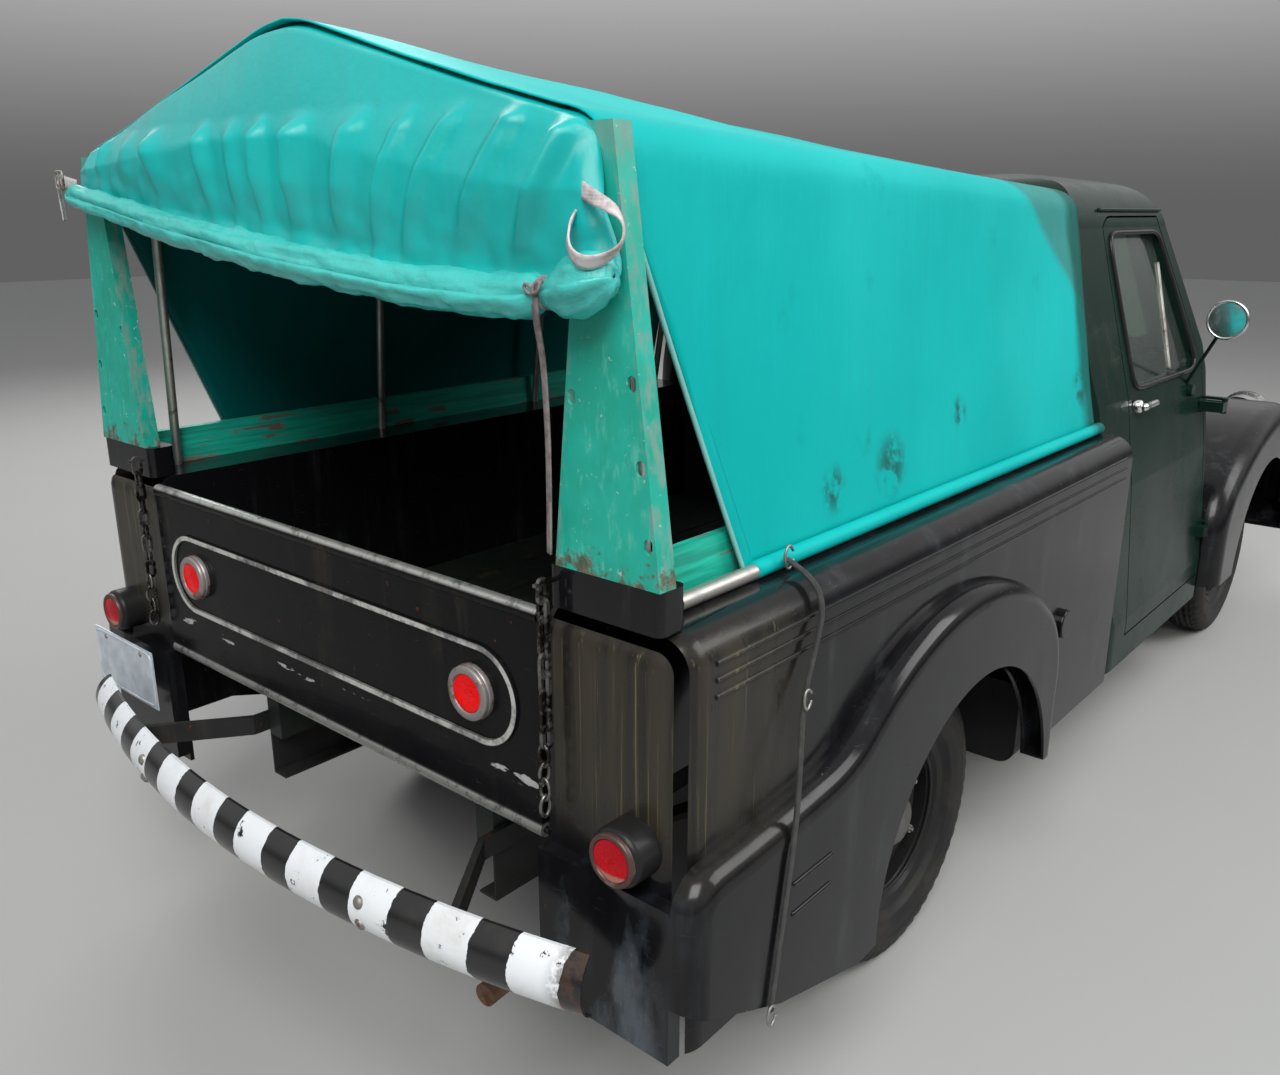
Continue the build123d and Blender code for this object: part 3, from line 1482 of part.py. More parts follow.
# Strap that holds the canvas hem down to the fender's foot
strap_radius = 7
strap_side_y = rear_fender_outer_y + strap_radius + seat_gap
strap_points = (
    (tail_x + 402, -hem_y - pole_radius - strap_radius, deck_z + 26),
    (tail_x + 394, -bed_half_width - 15, deck_z - 22),
    (tail_x + 330, -bed_half_width - 15, 960),
    (tail_x + 262, -strap_side_y, 760),
    (tail_x + 205, -strap_side_y, 420),
)
with BuildPart() as hem_strap:
    for start, end in zip(strap_points, strap_points[1:]):
        way = Vector(*end) - Vector(*start)
        with BuildSketch(Plane(origin=start, z_dir=way.normalized())):
            Circle(strap_radius)
        extrude(amount=way.length)
        with Locations(end):
            Sphere(strap_radius)
write(hem_strap.part, "hem_strap")
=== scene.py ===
import json
import math
from functools import reduce

import bmesh
import bpy
from bpy.props import FloatProperty, FloatVectorProperty, IntProperty, PointerProperty
from bpy.types import Operator, Panel, PropertyGroup
from mathutils import Matrix, Vector, noise
from mathutils.bvhtree import BVHTree
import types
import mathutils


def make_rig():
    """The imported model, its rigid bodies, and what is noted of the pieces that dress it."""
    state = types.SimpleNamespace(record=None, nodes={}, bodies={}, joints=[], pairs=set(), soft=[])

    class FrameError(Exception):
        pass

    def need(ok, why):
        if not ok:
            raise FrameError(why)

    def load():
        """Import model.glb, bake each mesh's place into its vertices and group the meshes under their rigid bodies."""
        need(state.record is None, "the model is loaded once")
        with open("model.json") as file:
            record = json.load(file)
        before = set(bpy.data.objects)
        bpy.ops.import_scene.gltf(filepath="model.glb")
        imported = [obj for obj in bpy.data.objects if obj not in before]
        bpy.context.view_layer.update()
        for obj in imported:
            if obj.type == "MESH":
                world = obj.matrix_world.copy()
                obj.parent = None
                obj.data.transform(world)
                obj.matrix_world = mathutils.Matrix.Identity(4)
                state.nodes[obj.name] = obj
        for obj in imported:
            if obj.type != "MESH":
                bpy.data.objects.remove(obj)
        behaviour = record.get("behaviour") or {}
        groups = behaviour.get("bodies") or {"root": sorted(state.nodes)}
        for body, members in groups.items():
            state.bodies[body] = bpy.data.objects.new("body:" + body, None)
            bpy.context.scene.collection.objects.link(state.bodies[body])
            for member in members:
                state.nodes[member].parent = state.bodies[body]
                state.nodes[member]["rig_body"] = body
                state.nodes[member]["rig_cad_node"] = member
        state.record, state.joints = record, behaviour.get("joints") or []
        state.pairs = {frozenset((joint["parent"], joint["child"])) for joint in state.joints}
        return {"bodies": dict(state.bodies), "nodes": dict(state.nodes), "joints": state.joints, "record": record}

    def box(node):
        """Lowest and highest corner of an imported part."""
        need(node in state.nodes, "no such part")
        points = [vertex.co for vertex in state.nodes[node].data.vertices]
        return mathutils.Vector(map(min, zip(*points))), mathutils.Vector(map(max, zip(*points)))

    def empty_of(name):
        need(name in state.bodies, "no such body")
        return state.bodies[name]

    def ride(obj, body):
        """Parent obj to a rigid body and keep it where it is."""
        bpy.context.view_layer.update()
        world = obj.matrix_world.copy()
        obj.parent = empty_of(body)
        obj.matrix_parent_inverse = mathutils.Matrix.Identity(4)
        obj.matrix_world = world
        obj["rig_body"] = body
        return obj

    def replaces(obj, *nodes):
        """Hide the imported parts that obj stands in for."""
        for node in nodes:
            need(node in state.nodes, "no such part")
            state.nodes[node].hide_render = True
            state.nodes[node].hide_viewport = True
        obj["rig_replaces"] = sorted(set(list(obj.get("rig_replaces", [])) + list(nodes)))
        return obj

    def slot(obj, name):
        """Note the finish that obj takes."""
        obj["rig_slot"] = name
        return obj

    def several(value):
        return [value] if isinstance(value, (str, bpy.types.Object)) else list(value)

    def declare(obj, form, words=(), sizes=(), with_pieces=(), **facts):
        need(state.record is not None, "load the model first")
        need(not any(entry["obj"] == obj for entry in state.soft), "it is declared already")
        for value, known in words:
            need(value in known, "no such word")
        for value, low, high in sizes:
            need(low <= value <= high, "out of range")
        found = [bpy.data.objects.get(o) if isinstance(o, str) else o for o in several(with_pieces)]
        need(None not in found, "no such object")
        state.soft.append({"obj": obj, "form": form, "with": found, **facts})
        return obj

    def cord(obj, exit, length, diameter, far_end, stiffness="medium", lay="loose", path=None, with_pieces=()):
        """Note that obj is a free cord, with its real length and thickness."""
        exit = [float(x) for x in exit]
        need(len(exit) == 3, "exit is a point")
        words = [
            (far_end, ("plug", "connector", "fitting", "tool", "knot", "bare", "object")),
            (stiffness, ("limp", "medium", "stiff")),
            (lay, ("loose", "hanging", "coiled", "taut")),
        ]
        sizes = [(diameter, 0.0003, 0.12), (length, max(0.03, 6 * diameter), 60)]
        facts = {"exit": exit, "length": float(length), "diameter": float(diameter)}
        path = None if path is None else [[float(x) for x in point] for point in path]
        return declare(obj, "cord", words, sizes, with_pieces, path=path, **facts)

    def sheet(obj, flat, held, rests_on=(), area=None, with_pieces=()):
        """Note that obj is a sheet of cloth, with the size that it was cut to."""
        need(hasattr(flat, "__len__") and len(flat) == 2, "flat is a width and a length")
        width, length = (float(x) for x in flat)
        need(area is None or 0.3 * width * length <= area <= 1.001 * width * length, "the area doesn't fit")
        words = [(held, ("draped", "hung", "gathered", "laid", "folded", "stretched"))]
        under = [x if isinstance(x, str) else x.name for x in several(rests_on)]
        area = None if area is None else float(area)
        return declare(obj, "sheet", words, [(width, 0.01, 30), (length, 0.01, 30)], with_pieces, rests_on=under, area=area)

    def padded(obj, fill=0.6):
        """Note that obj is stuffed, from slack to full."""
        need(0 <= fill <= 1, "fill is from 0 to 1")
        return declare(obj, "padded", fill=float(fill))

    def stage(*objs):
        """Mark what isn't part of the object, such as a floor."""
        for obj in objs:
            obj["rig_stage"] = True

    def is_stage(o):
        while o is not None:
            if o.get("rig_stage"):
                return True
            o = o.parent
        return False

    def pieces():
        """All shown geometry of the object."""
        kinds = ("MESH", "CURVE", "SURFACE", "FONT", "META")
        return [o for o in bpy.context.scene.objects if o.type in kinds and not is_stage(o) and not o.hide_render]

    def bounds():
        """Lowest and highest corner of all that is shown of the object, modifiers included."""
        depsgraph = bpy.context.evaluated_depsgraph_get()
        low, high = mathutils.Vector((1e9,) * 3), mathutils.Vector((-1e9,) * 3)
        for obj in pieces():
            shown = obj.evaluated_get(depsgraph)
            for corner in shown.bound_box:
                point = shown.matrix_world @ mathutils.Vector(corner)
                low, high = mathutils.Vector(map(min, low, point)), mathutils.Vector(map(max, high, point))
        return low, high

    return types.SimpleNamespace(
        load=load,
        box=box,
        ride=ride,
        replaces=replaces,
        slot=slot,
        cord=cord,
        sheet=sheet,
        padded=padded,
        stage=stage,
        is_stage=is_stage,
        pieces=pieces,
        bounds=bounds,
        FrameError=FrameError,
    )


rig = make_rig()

bl_info = {
    "name": "Canvas-topped pickup truck",
    "version": (1, 0, 0),
    "blender": (4, 5, 0),
    "location": "View3D > Sidebar > Pickup",
    "description": "Dresses the truck's construction model with its canvas, paint, lamps and tyres",
    "category": "Object",
}

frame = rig.load()
cad_low, cad_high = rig.bounds()

# Photograph's frame, in pixels
PHOTO_WIDTH = 1280

# Places worked out from the construction model
CANVAS_LOW, CANVAS_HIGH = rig.box("canvas")
CURTAIN_LOW, CURTAIN_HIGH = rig.box("curtain")
GATE_LOW, GATE_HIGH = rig.box("tailgate")
POST_LOW, POST_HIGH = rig.box("tilt_posts")
TAIL_X = CANVAS_LOW.x - 0.020

HANDS = (("left", 1), ("right", -1))


def length_property(name, description, default):
    return FloatProperty(
        name=name, description=description, default=default, min=0.0, unit="LENGTH", precision=4
    )


def color_property(name, description, default):
    return FloatVectorProperty(
        name=name, description=description, default=default, size=3, subtype="COLOR", min=0.0, max=1.0
    )


def count_property(name, description, default, low, high):
    return IntProperty(name=name, description=description, default=default, min=low, max=high)


def place_property(name, description, default):
    return FloatProperty(name=name, description=description, default=default, unit="LENGTH")


def angle_property(name, description, degrees):
    return FloatProperty(name=name, description=description, default=math.radians(degrees), subtype="ANGLE")


class PICKUP_PG_tilt(PropertyGroup):
    """Canvas tilt, curtain and seat channels"""

    canvas_color: color_property("Canvas colour", "Colour of the coated cloth", (0.0, 0.4, 0.385))
    apex_shift: length_property("Apex shift", "How far the ridge leans to the right", 0.035)
    seat_channels: count_property("Seat channels", "Sewn channels across the seat", 14, 2, 30)
    roof_sag: length_property("Roof sag", "How far the roof sags between bows", 0.014)
    wrinkle_depth: length_property("Wrinkle depth", "Depth of the curtain's upright wrinkles", 0.026)
    roll_radius: length_property("Roll radius", "Radius of the curtain's rolled foot", 0.033)
    roll_turns: count_property("Roll turns", "Turns in the rolled foot", 3, 1, 6)


class PICKUP_PG_wheels(PropertyGroup):
    """Tyres, wheels and rubbers"""

    tread_blocks: count_property("Tread blocks", "Blocks round each shoulder", 52, 8, 90)
    tread_depth: length_property("Tread depth", "Depth of the slots between the shoulder blocks", 0.006)
    wheel_nuts: count_property("Wheel nuts", "Nuts on each wheel", 5, 3, 10)
    rubber_radius: length_property("Rubber radius", "Radius of the window rubbers", 0.0085)


class PICKUP_PG_paint(PropertyGroup):
    """Paint and metal colours"""

    body_color: color_property("Body colour", "Black paint of the bed and fenders", (0.006, 0.006, 0.007))
    cab_color: color_property("Cab colour", "Dark green paint of the cab", (0.006, 0.02, 0.015))
    board_color: color_property("Board colour", "Green paint of posts and boards", (0.006, 0.33, 0.235))
    band_color: color_property("Band colour", "White bands of the rear bumper", (0.8, 0.82, 0.84))
    lens_color: color_property("Lens colour", "Red lenses", (0.62, 0.001, 0.002))


class PICKUP_PG_stage(PropertyGroup):
    """Floor colour and camera"""

    floor_color: color_property("Floor colour", "Colour of the studio floor", (0.42, 0.42, 0.41))
    camera_x: place_property("Camera X", "Camera place along the truck", -3.3414)
    camera_y: place_property("Camera Y", "Camera place across the truck", -1.8551)
    camera_z: length_property("Camera height", "Camera height above the floor", 1.7425)
    camera_yaw: angle_property("Camera yaw", "Turn to the left of straight ahead", 40.7167)
    camera_pitch: angle_property("Camera pitch", "Tilt below the horizon", 16.5509)
    focal_pixels: FloatProperty(name="Focal length", description="Focal length in photograph pixels", default=1091.04)


class NodeFinish:
    """A material being made: each call adds one shader node and returns the output it gives."""

    def __init__(self, name, roughness=0.5, metallic=0.0):
        self.material = bpy.data.materials.new(name)
        self.material.use_nodes = True
        self.nodes = self.material.node_tree.nodes
        self.shader = self.nodes["Principled BSDF"]
        self.shader.inputs["Roughness"].default_value = roughness
        self.shader.inputs["Metallic"].default_value = metallic

    def add(self, kind, values=(), **settings):
        node = self.nodes.new(kind)
        for name, value in settings.items():
            setattr(node, name, value)
        for socket, value in dict(values).items():
            self.feed(node.inputs[socket], value)
        return node

    def feed(self, socket, value):
        if isinstance(value, bpy.types.NodeSocket):
            self.material.node_tree.links.new(value, socket)
        elif socket.type == "RGBA" and len(value) == 3:
            socket.default_value = (*value, 1.0)
        else:
            socket.default_value = value

    def place(self, scale=(1, 1, 1), source="Object"):
        """Coordinates on the piece, stretched by the scale."""
        coordinates = self.add("ShaderNodeTexCoord").outputs[source]
        return self.add("ShaderNodeMapping", {"Vector": coordinates, "Scale": scale}).outputs["Vector"]

    def parts(self, vector):
        """The X, Y and Z of a vector."""
        return self.add("ShaderNodeSeparateXYZ", {0: vector}).outputs

    def noise(self, vector, scale, detail=4.0, roughness=0.55):
        values = {"Vector": vector, "Scale": scale, "Detail": detail, "Roughness": roughness}
        return self.add("ShaderNodeTexNoise", values).outputs["Fac"]

    def cells(self, vector, scale):
        return self.add("ShaderNodeTexVoronoi", {"Vector": vector, "Scale": scale}).outputs["Distance"]

    def wave(self, vector, scale, direction):
        values = {"Vector": vector, "Scale": scale}
        return self.add("ShaderNodeTexWave", values, bands_direction=direction).outputs["Fac"]

    def steps(self, factor, low, high, start=0.0, end=1.0):
        node = self.add("ShaderNodeMapRange", {
            "Value": factor, "From Min": low, "From Max": high, "To Min": start, "To Max": end,
        }, interpolation_type="SMOOTHSTEP")
        return node.outputs["Result"]

    def math(self, operation, first, second=0.0):
        node = self.add("ShaderNodeMath", operation=operation)
        self.feed(node.inputs[0], first)
        self.feed(node.inputs[1], second)
        return node.outputs["Value"]

    def product(self, *factors):
        return reduce(lambda total, factor: self.math("MULTIPLY", total, factor), factors)

    def most(self, *values):
        """The largest of the values."""
        return reduce(lambda largest, value: self.math("MAXIMUM", largest, value), values)

    def mix(self, factor, first, second):
        node = self.add("ShaderNodeMix", data_type="RGBA")
        self.feed(node.inputs["Factor"], factor)
        self.feed(node.inputs[6], first)
        self.feed(node.inputs[7], second)
        return node.outputs[2]

    def bump(self, height, distance, strength=1.0, under=None):
        values = {"Height": height, "Distance": distance, "Strength": strength}
        if under is not None:
            values["Normal"] = under
        return self.add("ShaderNodeBump", values).outputs["Normal"]

    def finish(self, color=None, roughness=None, normal=None, **sockets):
        for socket, value in (("Base Color", color), ("Roughness", roughness), ("Normal", normal)):
            if value is not None:
                self.feed(self.shader.inputs[socket], value)
        for socket, value in sockets.items():
            self.feed(self.shader.inputs[socket.replace("_", " ")], value)
        return self.material


def weathered_paint(
    name, color, dust, rust=(0.1, 0.035, 0.015), wear=0.5, roughness=0.16, marks=None, refraction=1.34
):
    """Old gloss paint with dusty streaks that run down it, fine scratches and chips down to rust."""
    paint = NodeFinish(name)
    where = paint.place()
    streaks = paint.noise(paint.place(scale=(9, 9, 0.9)), 2.2, 6.0, 0.6)
    clouds = paint.noise(where, 3.1, 5.0, 0.6)
    dusty = paint.product(paint.steps(streaks, 0.48, 0.74), paint.steps(clouds, 0.38, 0.72))
    scratches = paint.noise(paint.place(scale=(2, 2, 30)), 9.0, 3.0, 0.7)
    scuffed = paint.product(paint.steps(scratches, 0.64, 0.76), 0.3)
    chips = paint.steps(paint.noise(where, 38.0, 5.0, 0.65), 0.71 - 0.05 * wear, 0.735)
    worn = paint.mix(dusty, color, dust)
    worn = paint.mix(scuffed, worn, tuple(0.5 * part + 0.04 for part in dust))
    worn = paint.mix(chips, worn, rust)
    rough = paint.math("ADD", paint.steps(clouds, 0.3, 0.75, roughness, roughness + 0.16), scuffed)
    rough = paint.math("ADD", rough, paint.product(chips, 0.4))
    metallic = 0.0
    if marks:
        mask, mark_color, mark_rough, metallic = marks(paint, where)
        worn = paint.mix(mask, worn, mark_color)
        rough = paint.math("ADD", rough, paint.product(mask, mark_rough))
    ripple = paint.bump(paint.noise(where, 5.5, 2.0), 0.004, 0.3)
    pitted = paint.bump(chips, 0.0006, 0.8, ripple)
    return paint.finish(
        worn, rough, pitted, Metallic=metallic, Specular_IOR_Level=0.3, Coat_Weight=0.05, Coat_Roughness=0.05,
        IOR=refraction,
    )


def rear_corner_streaks(paint, where):
    """Brown and yellow runs down the body's rear corners, and a bluish-grey patch at the foot of the right one."""
    parts = paint.parts(where)
    lines = paint.noise(paint.place(scale=(90, 90, 1.1)), 1.0, 5.0, 0.7)
    broad = paint.noise(paint.place(scale=(22, 22, 0.8)), 1.0, 3.0, 0.6)
    blotches = paint.noise(paint.place(scale=(1, 1, 0.5)), 11.0, 5.0, 0.6)
    beside_gate = paint.math("GREATER_THAN", paint.math("ABSOLUTE", parts["Y"]), 0.672)
    patch = paint.product(
        paint.steps(parts["X"], TAIL_X + 0.42, TAIL_X + 0.16), paint.steps(parts["Z"], 1.15, 1.09),
        paint.steps(parts["Z"], 0.70, 0.86), beside_gate,
    )
    film = paint.product(patch, paint.steps(broad, 0.3, 0.6, 0.25, 0.75))
    runs = paint.product(patch, paint.steps(lines, 0.57, 0.67, 0.0, 0.85))
    # A bluish-grey patch low on the right rear corner, below the lamp.
    bluish_patch = paint.product(
        paint.steps(parts["X"], TAIL_X + 0.10, TAIL_X + 0.05), paint.steps(parts["Z"], 0.74, 0.60),
        paint.steps(parts["Y"], -0.66, -0.72), paint.steps(parts["Y"], -0.96, -0.88),
        paint.steps(blotches, 0.42, 0.66, 0.0, 0.6),
    )
    hue = paint.mix(runs, (0.045, 0.038, 0.026), (0.17, 0.14, 0.06))
    hue = paint.mix(paint.math("GREATER_THAN", bluish_patch, 0.02), hue, (0.11, 0.135, 0.16))
    return paint.most(film, runs, bluish_patch), hue, 0.3, 0.0


# The tailgate's pressed frame: middle height, half its straight part, radius of its round ends
GATE_FRAME_Z, GATE_FRAME_STRAIGHT, GATE_FRAME_RADIUS = 0.936, 0.5, 0.0885


def tailgate_wear_and_highlights(paint, where):
    """Bright worn edges on the top roll and the foot tube, painted pale partly as highlight lines; a painted highlight
    along the pressed frame; and a row of chips.
    """
    parts = paint.parts(where)
    # Top roll and foot tube: worn bright metal, painted pale partly as a painted highlight line.
    top = paint.steps(parts["Z"], GATE_HIGH.z - 0.011, GATE_HIGH.z - 0.004)
    foot = paint.steps(parts["Z"], GATE_LOW.z + 0.029, GATE_LOW.z + 0.019)
    # Painted highlight: a pale broken line along the edge of the pressed frame.
    rise = paint.math("ABSOLUTE", paint.math("SUBTRACT", parts["Z"], GATE_FRAME_Z))
    beyond = paint.most(paint.math("SUBTRACT", paint.math("ABSOLUTE", parts["Y"]), GATE_FRAME_STRAIGHT), 0.0)
    reach = paint.math("SQRT", paint.math("ADD", paint.math("POWER", rise, 2.0), paint.math("POWER", beyond, 2.0)))
    ring = paint.math("ABSOLUTE", paint.math("SUBTRACT", reach, GATE_FRAME_RADIUS))
    ring = paint.steps(ring, 0.0065, 0.004)
    ring = paint.product(ring, paint.steps(paint.noise(where, 9.0, 5.0, 0.65), 0.4, 0.52, 0.35, 1.0))
    row = paint.product(paint.steps(parts["Z"], 0.79, 0.8), paint.steps(parts["Z"], 0.822, 0.812))
    row = paint.product(row, paint.steps(paint.noise(paint.place(scale=(1, 0.55, 2)), 22.0, 3.0), 0.6, 0.63))
    mask = paint.most(top, foot, ring, row)
    worn = paint.steps(paint.noise(where, 30.0, 6.0, 0.7), 0.36, 0.5, 0.45, 1.0)
    mask = paint.product(mask, worn)
    tone = paint.mix(paint.steps(parts["Z"], 0.76, 0.84), (0.3, 0.3, 0.29), (0.46, 0.46, 0.44))
    return mask, tone, 0.1, paint.product(paint.most(top, foot), 0.7)


# The grille's bars: how far their faces stand from the nose's rear edge, lowest and highest place
GRILLE_FACE, GRILLE_LOW_Z, GRILLE_HIGH_Z = 0.9805, 0.6102, 0.8898


def grille_brightwork(paint, where):
    """Bright bars across the prow."""
    parts = paint.parts(where)
    ahead = paint.math("GREATER_THAN", parts["X"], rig.box("nose")[0].x + GRILLE_FACE)
    above = paint.math("GREATER_THAN", parts["Z"], GRILLE_LOW_Z)
    mask = paint.product(ahead, above, paint.math("LESS_THAN", parts["Z"], GRILLE_HIGH_Z))
    return mask, (0.62, 0.62, 0.61), 0.05, paint.product(mask, 0.9)


def plain_metal(name, color, roughness=0.4, metallic=1.0, spots=None, spread=0.55):
    """Bare or dull metal whose sheen varies, with spots of dirt or rust."""
    metal = NodeFinish(name, metallic=metallic)
    clouds = metal.noise(metal.place(), 16.0, 6.0, 0.6)
    tone = metal.mix(metal.steps(clouds, 0.3, 0.7), color, tuple(0.72 * part for part in color))
    if spots:
        tone = metal.mix(metal.steps(metal.noise(metal.place(), 23.0, 7.0, 0.65), spread, spread + 0.1), tone, spots)
    rough = metal.steps(clouds, 0.3, 0.75, roughness, min(1.0, roughness + 0.2))
    return metal.finish(tone, rough, metal.bump(clouds, 0.0008, 0.5))


def flaking_paint(name, color):
    """Thick green paint, chalky in upright smears, grey along the flanges and rusted at the foot."""
    paint = NodeFinish(name)
    where = paint.place()
    parts = paint.parts(where)
    smears = paint.noise(paint.place(scale=(1, 1, 0.35)), 46.0, 6.0, 0.66)
    spots = paint.noise(where, 64.0, 5.0, 0.62)
    clouds = paint.noise(where, 8.0, 4.0, 0.6)
    tone = paint.mix(paint.steps(clouds, 0.36, 0.66), color, (0.008, 0.40, 0.31))
    tone = paint.mix(paint.steps(smears, 0.54, 0.72, 0.0, 0.7), tone, (0.10, 0.46, 0.37))
    tone = paint.mix(paint.steps(spots, 0.64, 0.7, 0.0, 0.8), tone, (0.42, 0.56, 0.5))
    outward = paint.math("ABSOLUTE", parts["Y"])
    height = paint.math("SUBTRACT", parts["Z"], POST_LOW.z)
    outer = paint.math("SUBTRACT", POST_HIGH.y, paint.product(height, 0.133))
    inner = paint.math("ADD", POST_HIGH.y - 0.215, paint.product(height, 0.104))
    edge = paint.math("MINIMUM", paint.math("SUBTRACT", outer, outward), paint.math("SUBTRACT", outward, inner))
    rubbed = paint.product(paint.steps(edge, 0.011, 0.002), paint.steps(smears, 0.44, 0.60))
    top = paint.steps(height, 0.58, 0.65)
    rubbed = paint.most(rubbed, paint.product(top, paint.steps(smears, 0.34, 0.54)))
    tone = paint.mix(paint.product(rubbed, 0.6), tone, (0.2, 0.27, 0.24))
    low_down = paint.math("ADD", paint.steps(height, 0.10, 0.0, 0.0, 0.25), paint.noise(where, 19.0, 6.0, 0.7))
    rust = paint.steps(low_down, 0.7, 0.80, 0.0, 0.85)
    tone = paint.mix(rust, tone, paint.mix(paint.steps(spots, 0.4, 0.6), (0.07, 0.035, 0.02), (0.16, 0.09, 0.045)))
    rough = paint.steps(smears, 0.4, 0.65, 0.42, 0.7)
    pitted = paint.bump(paint.math("ADD", rust, paint.steps(spots, 0.64, 0.7)), 0.0006, 0.8)
    return paint.finish(tone, rough, pitted)


def banded_paint(name, band_color, band_pitch, last_band_y, rusty_end_y):
    """Black and white bands across the bumper, chipped, with a rusty end."""
    paint = NodeFinish(name)
    where = paint.place()
    parts = paint.parts(where)
    ragged = paint.product(paint.noise(where, 30.0, 4.0, 0.7), 0.012)
    along = paint.math("ADD", paint.math("SUBTRACT", parts["Y"], last_band_y), ragged)
    share = paint.math("FRACT", paint.math("ADD", paint.math("DIVIDE", along, band_pitch), 0.24))
    white = paint.math("LESS_THAN", share, 0.55)
    chips = paint.steps(paint.noise(where, 26.0, 7.0, 0.7), 0.62, 0.65)
    white = paint.product(white, paint.math("SUBTRACT", 1.0, chips))
    grime = paint.steps(paint.noise(where, 9.0, 6.0, 0.65), 0.48, 0.78, 0.0, 0.4)
    pale = paint.mix(grime, band_color, (0.42, 0.39, 0.33))
    dark = paint.mix(grime, (0.01, 0.01, 0.011), (0.045, 0.04, 0.032))
    tone = paint.mix(white, dark, pale)
    near_end = paint.steps(parts["Y"], rusty_end_y + 0.075, rusty_end_y + 0.02)
    rust = paint.product(near_end, paint.steps(paint.noise(where, 34.0, 6.0, 0.7), 0.42, 0.55))
    tone = paint.mix(rust, tone, (0.045, 0.022, 0.014))
    rough = paint.mix(white, (0.24, 0.24, 0.24), (0.4, 0.4, 0.4))
    return paint.finish(tone, rough, paint.bump(white, 0.0007, 0.8), Coat_Weight=0.1)


# Oily smudges on the canvas's right side: place along, height, reach
CANVAS_SMUDGES = ((-1.350, 1.249, 0.085), (-1.577, 1.240, 0.06), (-0.246, 1.277, 0.07), (-1.02, 1.31, 0.05))
# The upper front corner of the canvas's right side, painted greyish as a painted sheen: a place on its edge, and the
# edge's lean
SHEEN_CORNER = (-0.226, 1.515, 1.27)


def coated_canvas(name, color, roughness=0.5, shine=0.1, creasing=0.003):
    """Coated canvas: fine weave, faint stains and creases, with painted shade on its inner side and along its front
    edge, and a painted sheen on a front corner.
    """
    cloth = NodeFinish(name, roughness=roughness)
    where = cloth.place()
    stains = cloth.steps(cloth.noise(where, 5.5, 6.0, 0.62), 0.62, 0.76, 0.0, 0.45)
    sun = cloth.steps(cloth.noise(where, 1.3, 3.0, 0.5), 0.35, 0.7, 0.0, 0.7)
    tone = cloth.mix(sun, color, tuple(min(1.0, 1.2 * part + 0.01) for part in color))
    tone = cloth.mix(stains, tone, tuple(0.6 * part for part in color))
    parts = cloth.parts(where)
    right_hand = cloth.math("LESS_THAN", parts["Y"], -0.5)
    blots = cloth.product(cloth.steps(cloth.noise(where, 26.0, 5.0, 0.62), 0.42, 0.58, 0.0, 0.9), right_hand)
    flat = cloth.place(scale=(1, 0, 1))
    for x, z, reach in CANVAS_SMUDGES:
        away = cloth.add("ShaderNodeVectorMath", {0: flat, 1: (x, 0.0, z)}, operation="DISTANCE").outputs["Value"]
        spot = cloth.product(cloth.steps(away, reach, 0.15 * reach), blots)
        tone = cloth.mix(spot, tone, (0.015, 0.085, 0.07))
    # Painted sheen: a greyish patch in front of a slanted line on the right side's upper front corner.
    edge_x, edge_z, edge_lean = SHEEN_CORNER
    past_edge = cloth.math("ADD", parts["X"], cloth.product(cloth.math("SUBTRACT", parts["Z"], edge_z), edge_lean))
    painted_sheen = cloth.product(cloth.steps(past_edge, edge_x - 0.02, edge_x + 0.05, 0.0, 0.85), right_hand)
    painted_sheen = cloth.product(painted_sheen, cloth.steps(cloth.noise(where, 6.0, 5.0, 0.6), 0.3, 0.5, 0.6, 1.0))
    tone = cloth.mix(painted_sheen, tone, (0.045, 0.215, 0.2))
    weave = cloth.place(source="UV")
    warp = cloth.wave(weave, 260.0, "X")
    weft = cloth.wave(weave, 260.0, "Y")
    threads = cloth.bump(cloth.math("ADD", warp, weft), 0.0002, 0.35)
    creases = cloth.bump(cloth.noise(where, 14.0, 5.0, 0.6), creasing, 0.45, threads)
    hanging = cloth.noise(cloth.place(scale=(7, 7, 0.8)), 1.6, 3.0, 0.55)
    creases = cloth.bump(hanging, 0.012, 0.4, creases)
    # Painted shade: a darker band along the canvas's front edge, where the cloth folds against the cab.
    shaded_front = cloth.math("ADD", parts["X"], cloth.product(cloth.noise(cloth.place(scale=(1, 1, 0.4)), 9.0), 0.12))
    tone = cloth.mix(
        cloth.steps(shaded_front, CANVAS_HIGH.x - 0.065, CANVAS_HIGH.x + 0.01, 0.0, 0.85), tone, (0.006, 0.08, 0.065)
    )
    # Painted shade: faces turned inward or downward are darkened to a third of the canvas colour.
    facing = cloth.parts(cloth.add("ShaderNodeNewGeometry").outputs["True Normal"])
    inward = cloth.product(facing["Y"], cloth.math("SIGN", parts["Y"]))
    shaded_inside = cloth.most(cloth.steps(inward, -0.2, -0.45), cloth.steps(facing["Z"], -0.3, -0.6))
    shaded_inside = cloth.product(shaded_inside, cloth.math("GREATER_THAN", parts["X"], CANVAS_LOW.x + 0.03))
    tone = cloth.mix(shaded_inside, tone, tuple(0.3 * part for part in color))
    rough = cloth.steps(stains, 0.0, 0.5, roughness, roughness + 0.2)
    return cloth.finish(tone, rough, creases, Specular_IOR_Level=shine)


def woven_webbing(name, color, dirt):
    """Woven strap with ribs across it and dirt in the weave."""
    strap = NodeFinish(name, roughness=0.85)
    ribs = strap.wave(strap.place(), 180.0, "Z")
    grime = strap.steps(strap.noise(strap.place(), 40.0, 5.0, 0.6), 0.4, 0.7)
    return strap.finish(strap.mix(grime, color, dirt), None, strap.bump(ribs, 0.0006, 0.7), Sheen_Weight=0.08)


